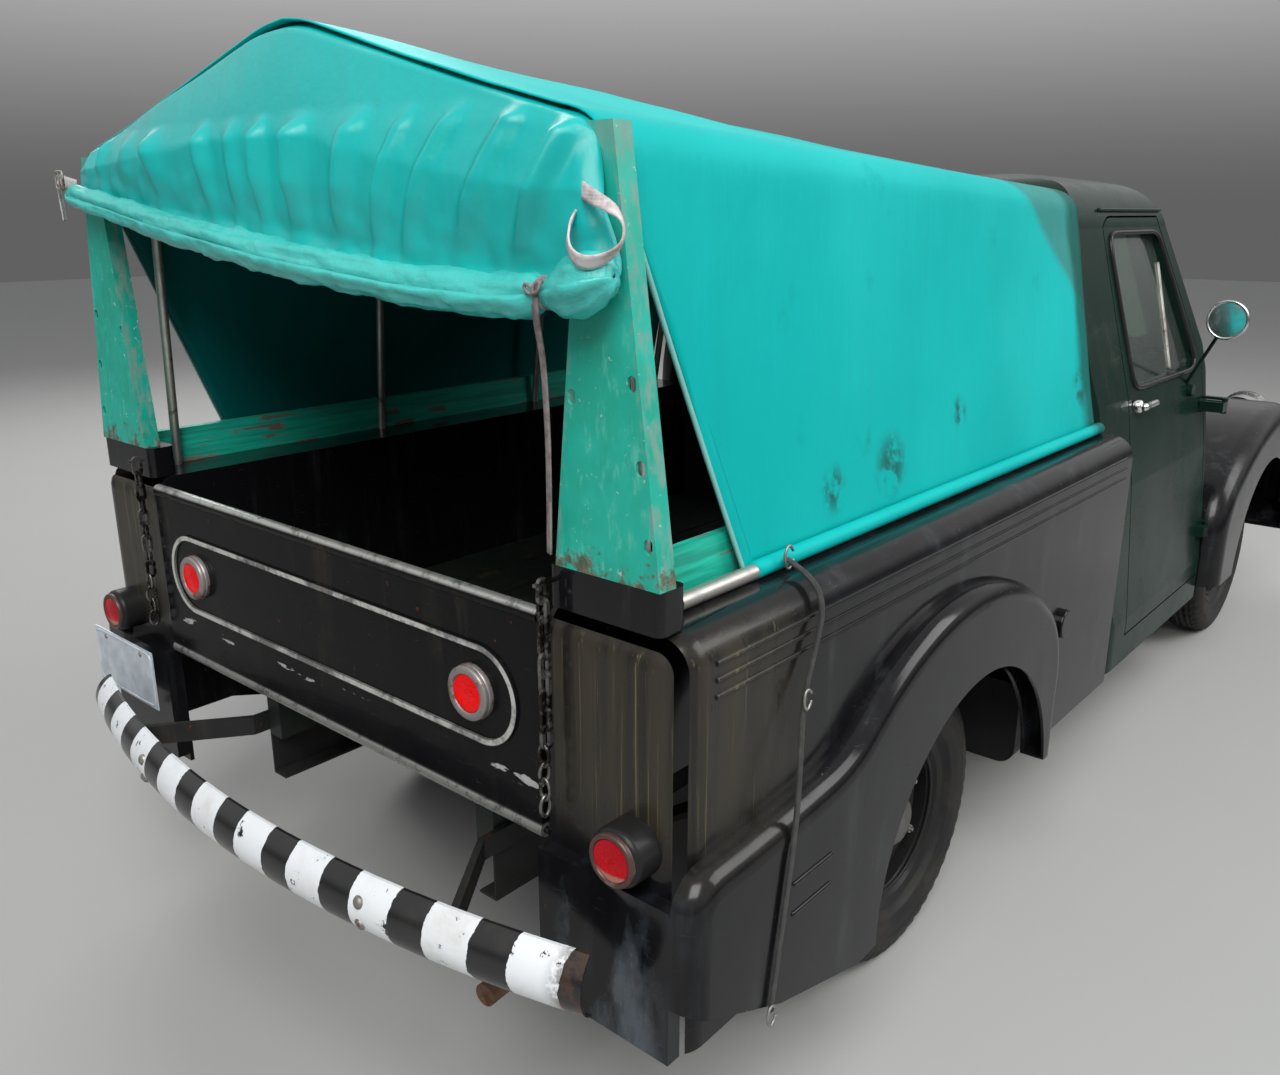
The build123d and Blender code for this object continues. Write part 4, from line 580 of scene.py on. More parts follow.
def tyre_rubber(name):
    """Dusty black rubber, greyer where it has been run on."""
    rubber = NodeFinish(name)
    where = rubber.place()
    dust = rubber.steps(rubber.noise(where, 9.0, 6.0, 0.65), 0.42, 0.72)
    tone = rubber.mix(dust, (0.01, 0.01, 0.0105), (0.04, 0.036, 0.03))
    rough = rubber.steps(dust, 0.0, 1.0, 0.55, 0.9)
    return rubber.finish(tone, rough, rubber.bump(rubber.noise(where, 120.0, 4.0), 0.0006, 0.5), Specular_IOR_Level=0.3)


def lens_plastic(name, color, pale_foot=False):
    """Red moulded lens with fine prisms under a glossy face; a tail lamp's has a pale window at its foot."""
    lens = NodeFinish(name, roughness=0.12)
    prisms = lens.cells(lens.place(), 420.0)
    glow = lens.mix(lens.steps(prisms, 0.1, 0.6), color, tuple(min(1.0, 1.5 * part) for part in color))
    facets = lens.bump(prisms, 0.0005, 0.5)
    if pale_foot:
        low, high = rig.box("tail_lamps")
        height = lens.parts(lens.place())["Z"]
        window = lens.steps(height, (low.z + high.z) / 2 - 0.017, (low.z + high.z) / 2 - 0.024, 0.0, 0.75)
        glow = lens.mix(window, glow, (0.36, 0.22, 0.15))
    return lens.finish(glow, None, facets, Specular_IOR_Level=0.1, Coat_Weight=0.08, Coat_Roughness=0.04)


def ribbed_glass(name):
    """Pressed headlamp glass with upright flutes, its colour painted in pale and darker bands as a painted reflection
    of the bright bowl behind it.
    """
    glass = NodeFinish(name, roughness=0.08)
    flutes = glass.wave(glass.place(), 28.0, "Y")
    # Painted reflection: pale and darker bands across the flutes.
    tone = glass.mix(glass.steps(flutes, 0.2, 0.8), (0.34, 0.36, 0.36), (0.72, 0.75, 0.74))
    return glass.finish(tone, None, glass.bump(flutes, 0.0016, 0.8), Coat_Weight=1.0, Coat_Roughness=0.03)


def dial_face(name):
    """Pale instrument face, yellowed, with a faint fleck."""
    face = NodeFinish(name, roughness=0.25)
    fleck = face.steps(face.noise(face.place(), 90.0, 4.0, 0.6), 0.45, 0.7)
    return face.finish(face.mix(fleck, (0.5, 0.46, 0.34), (0.3, 0.27, 0.19)), Coat_Weight=1.0, Coat_Roughness=0.03)


def clear_glass(name):
    """Old sheet glass, faintly green, with a film of dust."""
    glass = NodeFinish(name, roughness=0.03)
    film = glass.steps(glass.noise(glass.place(), 6.0, 5.0, 0.6), 0.4, 0.8, 0.02, 0.12)
    return glass.finish((0.5, 0.62, 0.56), film, None, Transmission_Weight=0.95, IOR=1.45)


def painted_wood(name, color):
    """Green boards: grain along the board, bare and grey where the paint has gone."""
    board = NodeFinish(name)
    grain = board.noise(board.place(scale=(1.2, 26, 26)), 3.0, 6.0, 0.6)
    patches = board.noise(board.place(scale=(1, 3, 3)), 6.0, 5.0, 0.65)
    bare = board.steps(board.math("ADD", grain, patches), 1.1, 1.2)
    tone = board.mix(board.steps(grain, 0.35, 0.65), color, tuple(1.7 * part for part in color))
    tone = board.mix(bare, tone, (0.19, 0.17, 0.13))
    return board.finish(tone, board.steps(bare, 0.0, 1.0, 0.6, 0.88), board.bump(grain, 0.0012, 0.6))


def stitched_leather(name, color):
    """Worn leathercloth with a fine grain and paler crowns."""
    hide = NodeFinish(name)
    grain = hide.cells(hide.place(), 260.0)
    wear = hide.steps(hide.noise(hide.place(), 5.0, 5.0, 0.6), 0.42, 0.7)
    tone = hide.mix(wear, color, tuple(min(1.0, 2.1 * part) for part in color))
    return hide.finish(tone, hide.steps(wear, 0.0, 1.0, 0.38, 0.6), hide.bump(grain, 0.0005, 0.6))


FINISHES = {}


def make_finishes():
    """Every finish, by the record's slot name or the piece it is for."""
    scene = bpy.context.scene
    paint = scene.pickup_paint
    canvas_color = scene.pickup_tilt.canvas_color[:]
    body_color, cab_color, board_color = paint.body_color[:], paint.cab_color[:], paint.board_color[:]
    cab_dust = (0.03, 0.034, 0.025)
    bumper_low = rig.box("rear_bumper")[0]

    def add(name, make, *values, **settings):
        FINISHES[name] = make(name, *values, **settings)

    add("black_paint", weathered_paint, body_color, (0.036, 0.039, 0.043), roughness=0.1, marks=rear_corner_streaks,
        refraction=1.42)
    add("tailgate_paint", weathered_paint, body_color, (0.035, 0.03, 0.02), wear=0.9, marks=tailgate_wear_and_highlights,
        refraction=1.2)
    add("nose_paint", weathered_paint, cab_color, cab_dust, wear=0.2, marks=grille_brightwork, refraction=1.25)
    add("cab_paint", weathered_paint, cab_color, cab_dust, wear=0.2, refraction=1.2)
    add("bed_steel", weathered_paint, (0.02, 0.026, 0.022), (0.09, 0.07, 0.05), wear=1.0, roughness=0.5)
    add("frame_paint", weathered_paint, (0.02, 0.02, 0.02), (0.08, 0.06, 0.045), wear=1.0, roughness=0.6)
    add("cast_parts", plain_metal, (0.07, 0.065, 0.06), 0.55, 0.6, (0.1, 0.05, 0.025))
    add("exhaust_steel", plain_metal, (0.2, 0.12, 0.08), 0.7, 0.5, (0.12, 0.05, 0.02), 0.45)
    add("spring_steel", plain_metal, (0.08, 0.075, 0.07), 0.5, 0.8, (0.11, 0.05, 0.02))
    add("pole_steel", plain_metal, (0.55, 0.54, 0.5), 0.4, 0.9, (0.2, 0.15, 0.1), 0.6)
    add("chain_steel", plain_metal, (0.2, 0.195, 0.19), 0.32, 0.85, (0.02, 0.016, 0.013), 0.46)
    add("bumper_paint", banded_paint, paint.band_color[:], 0.1708, bumper_low.y + 0.085, bumper_low.y)
    add("green_paint", flaking_paint, board_color)
    add("green_wood", painted_wood, board_color)
    add("canvas", coated_canvas, canvas_color)
    add("strap_webbing", woven_webbing, (0.014, 0.014, 0.014), (0.04, 0.037, 0.033))
    add("pale_webbing", woven_webbing, (0.66, 0.6, 0.6), (0.34, 0.31, 0.29))
    add("mauve_webbing", woven_webbing, (0.27, 0.22, 0.22), (0.1, 0.085, 0.08))
    # The roll's canvas is a paler copy of the canvas colour: a painted sheen.
    add("pale_roll", coated_canvas, (0.05, 0.48, 0.44), 0.26, 0.5, 0.014)
    add("curtain_cloth", coated_canvas, canvas_color, 0.24, 0.5, 0.005)
    # Paler canvas for the rear-edge piping: a painted highlight along the edge.
    add("pale_canvas", coated_canvas, (0.2, 0.5, 0.46))
    add("ribbed_glass", ribbed_glass)
    add("dial_face", dial_face)
    add("pale_bezel", plain_metal, (0.33, 0.3, 0.29), 0.35, 0.5, (0.16, 0.08, 0.06), 0.5)
    add("lamp_bezel", plain_metal, (0.09, 0.045, 0.04), 0.3, 0.3, (0.2, 0.16, 0.12), 0.6)
    add("lamp_lens", lens_plastic, (0.33, 0.001, 0.006), pale_foot=True)
    add("hub_steel", plain_metal, (0.16, 0.155, 0.15), 0.35, 0.8, (0.08, 0.05, 0.035), 0.56)
    add("seat_leather", stitched_leather, (0.075, 0.04, 0.025))
    add("tyre_rubber", tyre_rubber)
    add("wheel_paint", weathered_paint, (0.014, 0.014, 0.014), (0.08, 0.065, 0.05), roughness=0.35)
    add("wheel_rim_plastic", weathered_paint, (0.012, 0.012, 0.012), (0.03, 0.03, 0.03), wear=0.0)
    add("glass", clear_glass)
    add("mirror_glass", plain_metal, (0.8, 0.82, 0.83), 0.12, 1.0)
    add("lamp_chrome", plain_metal, (0.72, 0.72, 0.71), 0.12, 1.0, (0.25, 0.2, 0.15), 0.66)
    add("red_lens", lens_plastic, paint.lens_color[:])
    add("plate_blank", plain_metal, (0.62, 0.68, 0.74), 0.4, 0.2)
    add("dull_steel", plain_metal, (0.34, 0.33, 0.31), 0.45, 0.9, (0.14, 0.08, 0.05), 0.58)


def new_piece(name, bm, slot, body="root", smooth=True, finish=None):
    """Turns a bmesh into a piece that rides on a body and takes its finish from a slot."""
    mesh = bpy.data.meshes.new(name)
    for face in bm.faces:
        face.smooth = smooth
    bm.to_mesh(mesh)
    bm.free()
    piece = bpy.data.objects.new(name, mesh)
    bpy.context.scene.collection.objects.link(piece)
    piece.data.materials.append(FINISHES[finish or slot])
    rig.ride(piece, body)
    if slot:
        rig.slot(piece, slot)
    return piece


def sheet_grid(columns, rows, place, size=(1.0, 1.0)):
    """A grid whose points go where place(across, along) says, with a UV map in metres."""
    bm = bmesh.new()
    uv = bm.loops.layers.uv.new("UVMap")
    bmesh.ops.create_grid(bm, x_segments=columns, y_segments=rows, size=0.5, calc_uvs=True)
    for face in bm.faces:
        for loop in face.loops:
            loop[uv].uv = ((loop.vert.co.x + 0.5) * size[0], (loop.vert.co.y + 0.5) * size[1])
    for vert in bm.verts:
        vert.co = place(vert.co.x + 0.5, vert.co.y + 0.5)
    return bm


def lathe(profile, origin, axis, steps=48):
    """A turned shape from (distance along the axis, radius) pairs."""
    bm = bmesh.new()
    origin, axis = Vector(origin), Vector(axis).normalized()
    side = axis.orthogonal().normalized()
    verts = [bm.verts.new(origin + axis * along + side * radius) for along, radius in profile]
    edges = [bm.edges.new(ends) for ends in zip(verts, verts[1:])]
    bmesh.ops.spin(
        bm, geom=verts + edges, cent=origin, axis=axis, angle=math.tau, steps=steps, use_merge=True
    )
    bmesh.ops.remove_doubles(bm, verts=bm.verts, dist=1e-5)
    bmesh.ops.recalc_face_normals(bm, faces=bm.faces)
    return bm


def thicken(piece, thickness, offset=-1.0):
    """Gives a sheet its thickness, inward from its face unless the offset says otherwise."""
    shell = piece.modifiers.new("thickness", "SOLIDIFY")
    shell.thickness = thickness
    shell.offset = offset
    shell.use_even_offset = True


def soften(piece):
    """Rounds a piece off by one level."""
    finer = piece.modifiers.new("soft", "SUBSURF")
    finer.levels = finer.render_levels = 1


def ripple(point, scale, seed):
    """Smooth noise at a point, from about -1 to 1."""
    return noise.noise(Vector(point) * scale + Vector((seed, 2.7 * seed, 5.1 * seed)))


# Canvas sections at the rear and at the front: eave half-width, eave height, ridge height
REAR_SECTION = (0.790, 1.888, 2.078)
FRONT_SECTION = (0.716, 1.806, 1.902)
FOOT_HALF_WIDTH = CANVAS_HIGH.y
FOOT_HEIGHT = CANVAS_LOW.z
CUT_FOOT_X = TAIL_X + 0.324
CUT_TOP_HEIGHT = 1.864
BOW_FIRST_X = TAIL_X + 0.130
BOW_PITCH = 0.620
RIDGE_ROUND = 0.100
LEAN_HALF_WIDTH = 0.70
EAVE_DROP = 0.07
EAVE_INSET = 0.08
CORNER_INSET, CORNER_DROP = 0.003, 0.012
SIDE_SHARE = 0.42
EAVE_SHARE = 0.54


def section_point(side, share, along):
    """Point of the canvas at a share of the way from foot to ridge, for a place along the tilt."""
    eave_y, eave_z, ridge_z = (
        rear + (front - rear) * along for rear, front in zip(REAR_SECTION, FRONT_SECTION)
    )
    low = Vector((eave_y, eave_z - EAVE_DROP))
    high = Vector((eave_y - EAVE_INSET, eave_z))
    corner = Vector((eave_y - CORNER_INSET, eave_z - CORNER_DROP))
    if share < SIDE_SHARE:
        point = Vector((FOOT_HALF_WIDTH, FOOT_HEIGHT)).lerp(low, share / SIDE_SHARE)
    elif share < EAVE_SHARE:
        turn = (share - SIDE_SHARE) / (EAVE_SHARE - SIDE_SHARE)
        point = low.lerp(corner, turn).lerp(corner.lerp(high, turn), turn)
    else:
        point = high.lerp(Vector((0.0, ridge_z)), (share - EAVE_SHARE) / (1 - EAVE_SHARE))
        slope = (ridge_z - eave_z) / high.x
        point.y -= 0.5 * slope * max(0.0, RIDGE_ROUND - point.x) ** 2 / RIDGE_ROUND
    return side * point.x, point.y


def lean(y):
    """Sideways shift of the roof, most at the ridge."""
    return -bpy.context.scene.pickup_tilt.apex_shift * max(0.0, 1.0 - abs(y) / LEAN_HALF_WIDTH) ** 1.5


def cut_x(height):
    """Where the canvas starts at a height: its rear edge slants back from the foot to the eave."""
    share = min(1.0, max(0.0, (height - FOOT_HEIGHT) / (CUT_TOP_HEIGHT - FOOT_HEIGHT)))
    return CUT_FOOT_X + (CANVAS_LOW.x - CUT_FOOT_X) * share


def canvas_point(across, along):
    """Point of the canvas: across from the right foot over the ridge to the left foot, along from the rear."""
    side = 1.0 if across > 0.5 else -1.0
    share = 1.0 - abs(2.0 * across - 1.0)
    length = CANVAS_HIGH.x - CANVAS_LOW.x
    x = CANVAS_LOW.x + along * length
    for _ in range(2):
        y, z = section_point(side, share, (x - CANVAS_LOW.x) / length)
        start = cut_x(z)
        x = start + along * (CANVAS_HIGH.x - start)
    tilt = bpy.context.scene.pickup_tilt
    from_bow = abs(math.sin(math.pi * (x - BOW_FIRST_X) / BOW_PITCH))
    on_roof = min(1.0, max(0.0, (share - EAVE_SHARE) / 0.1)) * (1.0 - share) ** 0.3
    on_side = math.sin(math.pi * min(1.0, share / SIDE_SHARE)) if share < SIDE_SHARE else 0.0
    z -= tilt.roof_sag * from_bow ** 1.5 * on_roof
    y -= side * 0.010 * from_bow ** 2 * on_side
    near_front = max(0.0, (along - 0.8) / 0.2)
    folds = ripple((x, 0.0, 0.25 * z), 14.0, 3.0) * near_front * 0.010
    slack = ripple((x, y, z), 3.2, 8.0) * 0.006 + ripple((x, y, 0.4 * z), 9.0, 4.0) * 0.0018
    y += side * (folds * on_side + slack * (on_side + 0.2)) + lean(y)
    z += slack * 0.6 * on_roof
    return Vector((x, y, z))


class PICKUP_OT_canvas(Operator):
    """Stretch the canvas over the bows, with its slanted rear edges and hems"""

    bl_idname = "pickup.canvas"
    bl_label = "Canvas tilt"

    def execute(self, context):
        canvas = new_piece("canvas_sheet", sheet_grid(128, 96, canvas_point, (3.02, 2.0)), "canvas")
        thicken(canvas, 0.003)
        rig.replaces(canvas, "canvas")
        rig.sheet(canvas, flat=(3.04, 2.02), held="stretched", rests_on=["tilt_bows", "side_boards"], area=5.75)
        pole_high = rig.box("hem_poles")[1]
        for hand, side in HANDS:
            self.edge_hem(side)
            line = []
            for step in range(14):
                x = CUT_FOOT_X + 0.004 + (CANVAS_HIGH.x - CUT_FOOT_X - 0.006) * step / 13
                sway = 0.0014 * ripple((x, side, 0.0), 5.0, 2.0)
                line.append((x, side * (pole_high.y - 0.014 + sway), pole_high.z - 0.012 + sway))
            bead(f"canvas_sleeve_{hand}", line, 0.0168, "canvas", sides=12)
        return {"FINISHED"}

    def edge_hem(self, side):
        """The doubled cloth along the slanted rear edge, and its piping."""
        def edge_point(share, inward):
            x = cut_x(section_point(side, share, 0.0)[1]) + inward
            return x, *section_point(side, share, (x - CANVAS_LOW.x) / (CANVAS_HIGH.x - CANVAS_LOW.x))

        def place(across, along):
            x, y, z = edge_point(along * SIDE_SHARE, across * 0.032 - 0.002)
            swell = 0.0035 * math.sin(math.pi * across)
            return Vector((x, y + side * (swell + 0.001), z))

        hand = "left" if side > 0 else "right"
        hem = new_piece(f"canvas_hem_{hand}", sheet_grid(6, 60, place, (0.03, 0.8)), "canvas")
        thicken(hem, 0.003)
        edge = [edge_point(SIDE_SHARE * step / 12, -0.003) for step in range(13)]
        # The piping is painted paler as a painted highlight along the slanted rear edge.
        bead(f"canvas_piping_{hand}", edge, 0.0045, "canvas", finish="pale_canvas", sides=6)


# Middle line of the curtain's roll from the right to the left: place across, height
ROLL_LINE = (
    (-0.86, 1.672), (-0.76, 1.642), (-0.66, 1.624), (-0.45, 1.629), (-0.10, 1.658), (0.25, 1.700), (0.52, 1.740),
    (0.86, 1.796),
)
ROLL_RIGHT_Y, ROLL_LEFT_Y = -0.846, 0.802
CHAIN_END_LINKS = 4
CHAIN_PITCH = 0.031
# Half of a link's width and length, and its wire's radius
LINK_HALF_WIDTH, LINK_HALF_LENGTH, LINK_WIRE = 0.0085, 0.0195, 0.0034
KNOT_Y = -0.722
KNOT_RADIUS = 0.0225
CURTAIN_CORNER_Y = 0.766
FOLD_HEIGHT = 1.885
DROP_X = CURTAIN_HIGH.x - 0.026


def roll_height(y):
    """Height of the roll's middle line, smoothed over its bends."""
    total = 0.0
    for shift in (-0.05, 0.0, 0.05):
        place = min(max(y + shift, ROLL_LINE[0][0]), ROLL_LINE[-1][0])
        for (start, low), (end, high) in zip(ROLL_LINE, ROLL_LINE[1:]):
            if place <= end:
                total += low + (high - low) * (place - start) / (end - start)
                break
    return total / 3 + 0.008 * ripple((y, 0.0, 0.0), 3.0, 6.0)


def bent(turn, start, corner, end):
    """A place on the curve that leaves start towards the corner and arrives at end."""
    return (1 - turn) ** 2 * start + 2 * turn * (1 - turn) * corner + turn ** 2 * end


def gable_height(y):
    """Height of the canvas's rear edge at a place across."""
    eave_y, eave_z, ridge_z = REAR_SECTION
    high_y = eave_y - EAVE_INSET
    if abs(y) <= high_y:
        slope = (ridge_z - eave_z) / high_y
        return ridge_z - slope * abs(y) - 0.5 * slope * max(0.0, RIDGE_ROUND - abs(y)) ** 2 / RIDGE_ROUND
    low, high = 0.0, 1.0
    for _ in range(20):
        turn = (low + high) / 2
        corner_y = bent(turn, eave_y, eave_y - CORNER_INSET, high_y)
        low, high = (turn, high) if corner_y > abs(y) else (low, turn)
    return bent(turn, eave_z - EAVE_DROP, eave_z - CORNER_DROP, eave_z)


class PICKUP_OT_curtain(Operator):
    """Hang the rear curtain over the posts, with its folds and its rolled foot"""

    bl_idname = "pickup.curtain"
    bl_label = "Rear curtain"

    def execute(self, context):
        tilt = context.scene.pickup_tilt
        roll_x = CURTAIN_LOW.x + 0.034

        def hanging(across, down):
            top_y = -CURTAIN_CORNER_Y - 0.016 + across * (2 * CURTAIN_CORNER_Y + 0.022)
            foot_y = ROLL_RIGHT_Y + 0.010 + across * (ROLL_LEFT_Y - ROLL_RIGHT_Y - 0.014)
            top, foot = gable_height(top_y) - 0.004, roll_height(foot_y)
            z = top + (foot - top) * down
            y = top_y + (foot_y - top_y) * down ** 0.8
            y += lean(y) * (1.0 - down)
            below = min(1.0, max(0.0, (FOLD_HEIGHT + 0.022 - z) / 0.035)) * min(1.0, down / 0.12)
            slant = 0.5 * min(1.0, max(0.0, (0.25 - y) / 0.8))
            phase = y - slant * (FOLD_HEIGHT - z)
            turn = phase / 0.122 + 0.75 * ripple((phase, 0.0, 0.2 * z), 5.0, 5.0)
            crest = (0.5 + 0.5 * math.cos(math.tau * turn)) ** 3.2
            crest *= 0.72 + 0.9 * ripple((phase, 0.0, 0.3 * z), 6.5, 9.0)
            fading = min(1.0, max(0.2, (z - foot - 0.035) / 0.10))
            wave = crest * fading + 0.16 * ripple((y, 0.0, z), 27.0, 9.0) * (1.3 - fading)
            depth = tilt.wrinkle_depth * (wave * below + 0.30 * ripple((y, 0.0, z), 5.0, 2.0))
            belly = 0.016 * math.sin(math.pi * min(1.0, down * 1.15)) * math.cos(math.pi * (across - 0.5))
            x = CANVAS_LOW.x - 0.003 + (DROP_X - CANVAS_LOW.x - 0.004) * min(1.0, down * 2.2)
            to_roll = max(0.0, (down - 0.86) / 0.14)
            x = x - belly - depth - 0.004 * below
            x = x + (roll_x - 0.016 - x) * to_roll ** 2 * 0.6
            near_edge = max(0.0, (abs(2.0 * across - 1.0) - 0.955) / 0.045)
            x += 0.030 * near_edge ** 2 * (0.3 + 0.7 * down)
            tucked = max(0.0, 1.0 - down / 0.035)
            return Vector((min(x, CANVAS_LOW.x + 0.002) + 0.034 * tucked, y, z))

        cloth = sheet_grid(230, 56, hanging, (1.58, 0.36))
        curtain = new_piece("curtain_sheet", cloth, "canvas", finish="curtain_cloth")
        thicken(curtain, 0.003, 0.0)
        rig.replaces(curtain, "curtain")
        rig.sheet(curtain, flat=(1.60, 0.47), held="hung", rests_on=["canvas_sheet", "tilt_posts"], area=0.50)

        def rolled(along, around):
            y = ROLL_RIGHT_Y - 0.004 + along * (ROLL_LEFT_Y - ROLL_RIGHT_Y + 0.006)
            angle = around * math.tau * tilt.roll_turns
            lumps = 0.24 * ripple((0.8 * y, 0.6 * math.cos(angle), 0.6 * math.sin(angle)), 5.0, 2.0)
            lumps += 0.20 * ripple((y, math.cos(angle), math.sin(angle)), 14.0, 7.0)
            lumps += 0.12 * ripple((y, math.cos(angle), math.sin(angle)), 34.0, 4.0)
            pinch = 1.0 - 0.38 * math.exp(-((y - KNOT_Y) / 0.020) ** 2)
            pinch *= 1.0 + 0.35 * math.exp(-((y + 0.79) / 0.035) ** 2) - 0.25 * max(0.0, (y - 0.1) / 0.7)
            to_end = min(y - ROLL_RIGHT_Y + 0.004, ROLL_LEFT_Y + 0.002 - y)
            pinch *= 0.22 + 0.78 * min(1.0, max(0.0, to_end) / 0.030) ** 0.5
            radius = tilt.roll_radius * (0.35 + 0.65 * around) * (1.0 + lumps) * pinch
            return Vector((
                roll_x - 0.006 - 0.92 * radius * math.cos(angle),
                y,
                roll_height(y) + radius * math.sin(angle) * 1.05,
            ))

        roll = new_piece("curtain_roll", sheet_grid(220, 84, rolled, (1.6, 0.5)), "canvas", finish="pale_roll")
        thicken(roll, 0.0025, 0.0)
        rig.sheet(roll, flat=(1.60, 0.45), held="folded", rests_on=["curtain_sheet"])
        return {"FINISHED"}


def turned_piece(name, profile, origin, axis, slot, body, finish=None, steps=48):
    """A turned piece from (distance along the axis, radius) pairs."""
    return new_piece(name, lathe(profile, origin, axis, steps), slot, body, finish=finish)


def spline_points(points, closed=False, resolution=12):
    """The points of a smooth NURBS line whose control points are given."""
    data = bpy.data.curves.new("route", "CURVE")
    data.dimensions = "3D"
    spline = data.splines.new("NURBS")
    spline.points.add(len(points) - 1)
    for control, point in zip(spline.points, points):
        control.co = (*point, 1.0)
    spline.use_cyclic_u = closed
    spline.order_u = 3
    spline.use_endpoint_u = not closed
    spline.resolution_u = resolution
    holder = bpy.data.objects.new("route", data)
    mesh = bpy.data.meshes.new_from_object(holder)
    line = [vert.co.copy() for vert in mesh.vertices]
    bpy.data.objects.remove(holder)
    bpy.data.meshes.remove(mesh)
    bpy.data.curves.remove(data)
    return line


def bead(name, points, radius, slot, body="root", closed=False, finish=None, sides=8):
    """A round bead, wire or rubber that follows a smooth line."""
    line = spline_points(points, closed)
    bm = bmesh.new()
    rings = []
    for index, point in enumerate(line):
        before = line[index - 1] if closed or index else point
        after = line[(index + 1) % len(line)] if closed or index + 1 < len(line) else point
        along = (after - before).normalized()
        across = along.cross(Vector((0.0, 0.0, 1.0)))
        across = across.normalized() if across.length > 0.2 else along.cross(Vector((0.0, 1.0, 0.0))).normalized()
        upward = across.cross(along)
        rings.append([
            bm.verts.new(point + radius * (across * math.cos(angle) + upward * math.sin(angle)))
            for angle in turn_angles(sides)
        ])
    edge_rings = [[bm.edges.new((ring[step - 1], ring[step])) for step in range(sides)] for ring in rings]
    last = len(rings) if closed else len(rings) - 1
    for index in range(last):
        bmesh.ops.bridge_loops(bm, edges=edge_rings[index] + edge_rings[(index + 1) % len(rings)])
    if not closed:
        for ring in (edge_rings[0], edge_rings[-1]):
            bmesh.ops.contextual_create(bm, geom=ring)
    bmesh.ops.recalc_face_normals(bm, faces=bm.faces)
    return new_piece(name, bm, slot, body, finish=finish)


def strap(name, route, facing, width, thickness, slot, finish=None):
    """A flat strap along a smooth route; facing gives the ways its width lies, evenly along it."""
    line = spline_points(route)
    ways = [Vector(way).normalized() for way in facing]

    def place(across, along):
        index = min(len(line) - 1, round(along * (len(line) - 1)))
        span = min(len(ways) - 2, int(along * (len(ways) - 1)))
        way = ways[span].lerp(ways[span + 1], along * (len(ways) - 1) - span).normalized()
        return line[index] + way * width * (across - 0.5)

    piece = new_piece(name, sheet_grid(4, len(line) - 1, place, (width, 1.0)), slot, finish=finish)
    thicken(piece, thickness, 0.0)
    return piece, line


def turn_angles(steps):
    """Angles evenly round a full turn."""
    return [math.tau * step / steps for step in range(steps)]


def route_length(line):
    """Length of a line along its points."""
    return sum((after - before).length for before, after in zip(line, line[1:]))


def skin_of(node):
    """The surface of a construction node, for laying trim on."""
    mesh = frame["nodes"][node].data
    return BVHTree.FromPolygons(
        [vert.co for vert in mesh.vertices], [tuple(face.vertices) for face in mesh.polygons]
    )


def laid_on(skin, points, ray, lift):
    """Points moved along a ray until they lie on a surface, then lifted off it."""
    ray = Vector(ray)
    placed = []
    for point in points:
        hit = skin.ray_cast(Vector(point) - 3.0 * ray, ray)[0]
        if hit is not None:
            placed.append(hit - ray * lift)
    return placed


def rounded_outline(corners, reach, per_edge=3):
    """Control points round a closed outline, close to each corner on both sides."""
    outline = []
    for corner, following in zip(corners, corners[1:] + corners[:1]):
        start, end = Vector(corner), Vector(following)
        near = reach / (end - start).length
        for step in range(per_edge):
            outline.append(start.lerp(end, near + (1.0 - 2.0 * near) * step / (per_edge - 1)))
    return outline


# How the width of the right webbing lies, evenly along it: flat, edge-on round the post, then flat again
LOOP_FACING = (
    (0.1, 0.0, 1.0), (0.15, 0.0, 1.0), (0.45, 0.4, 0.8), (0.75, 0.65, 0.1), (0.75, 0.6, -0.2), (0.6, 0.3, -0.7),
    (0.3, 0.0, -0.95), (0.3, 0.5, -0.8), (0.5, 0.6, -0.6),
)


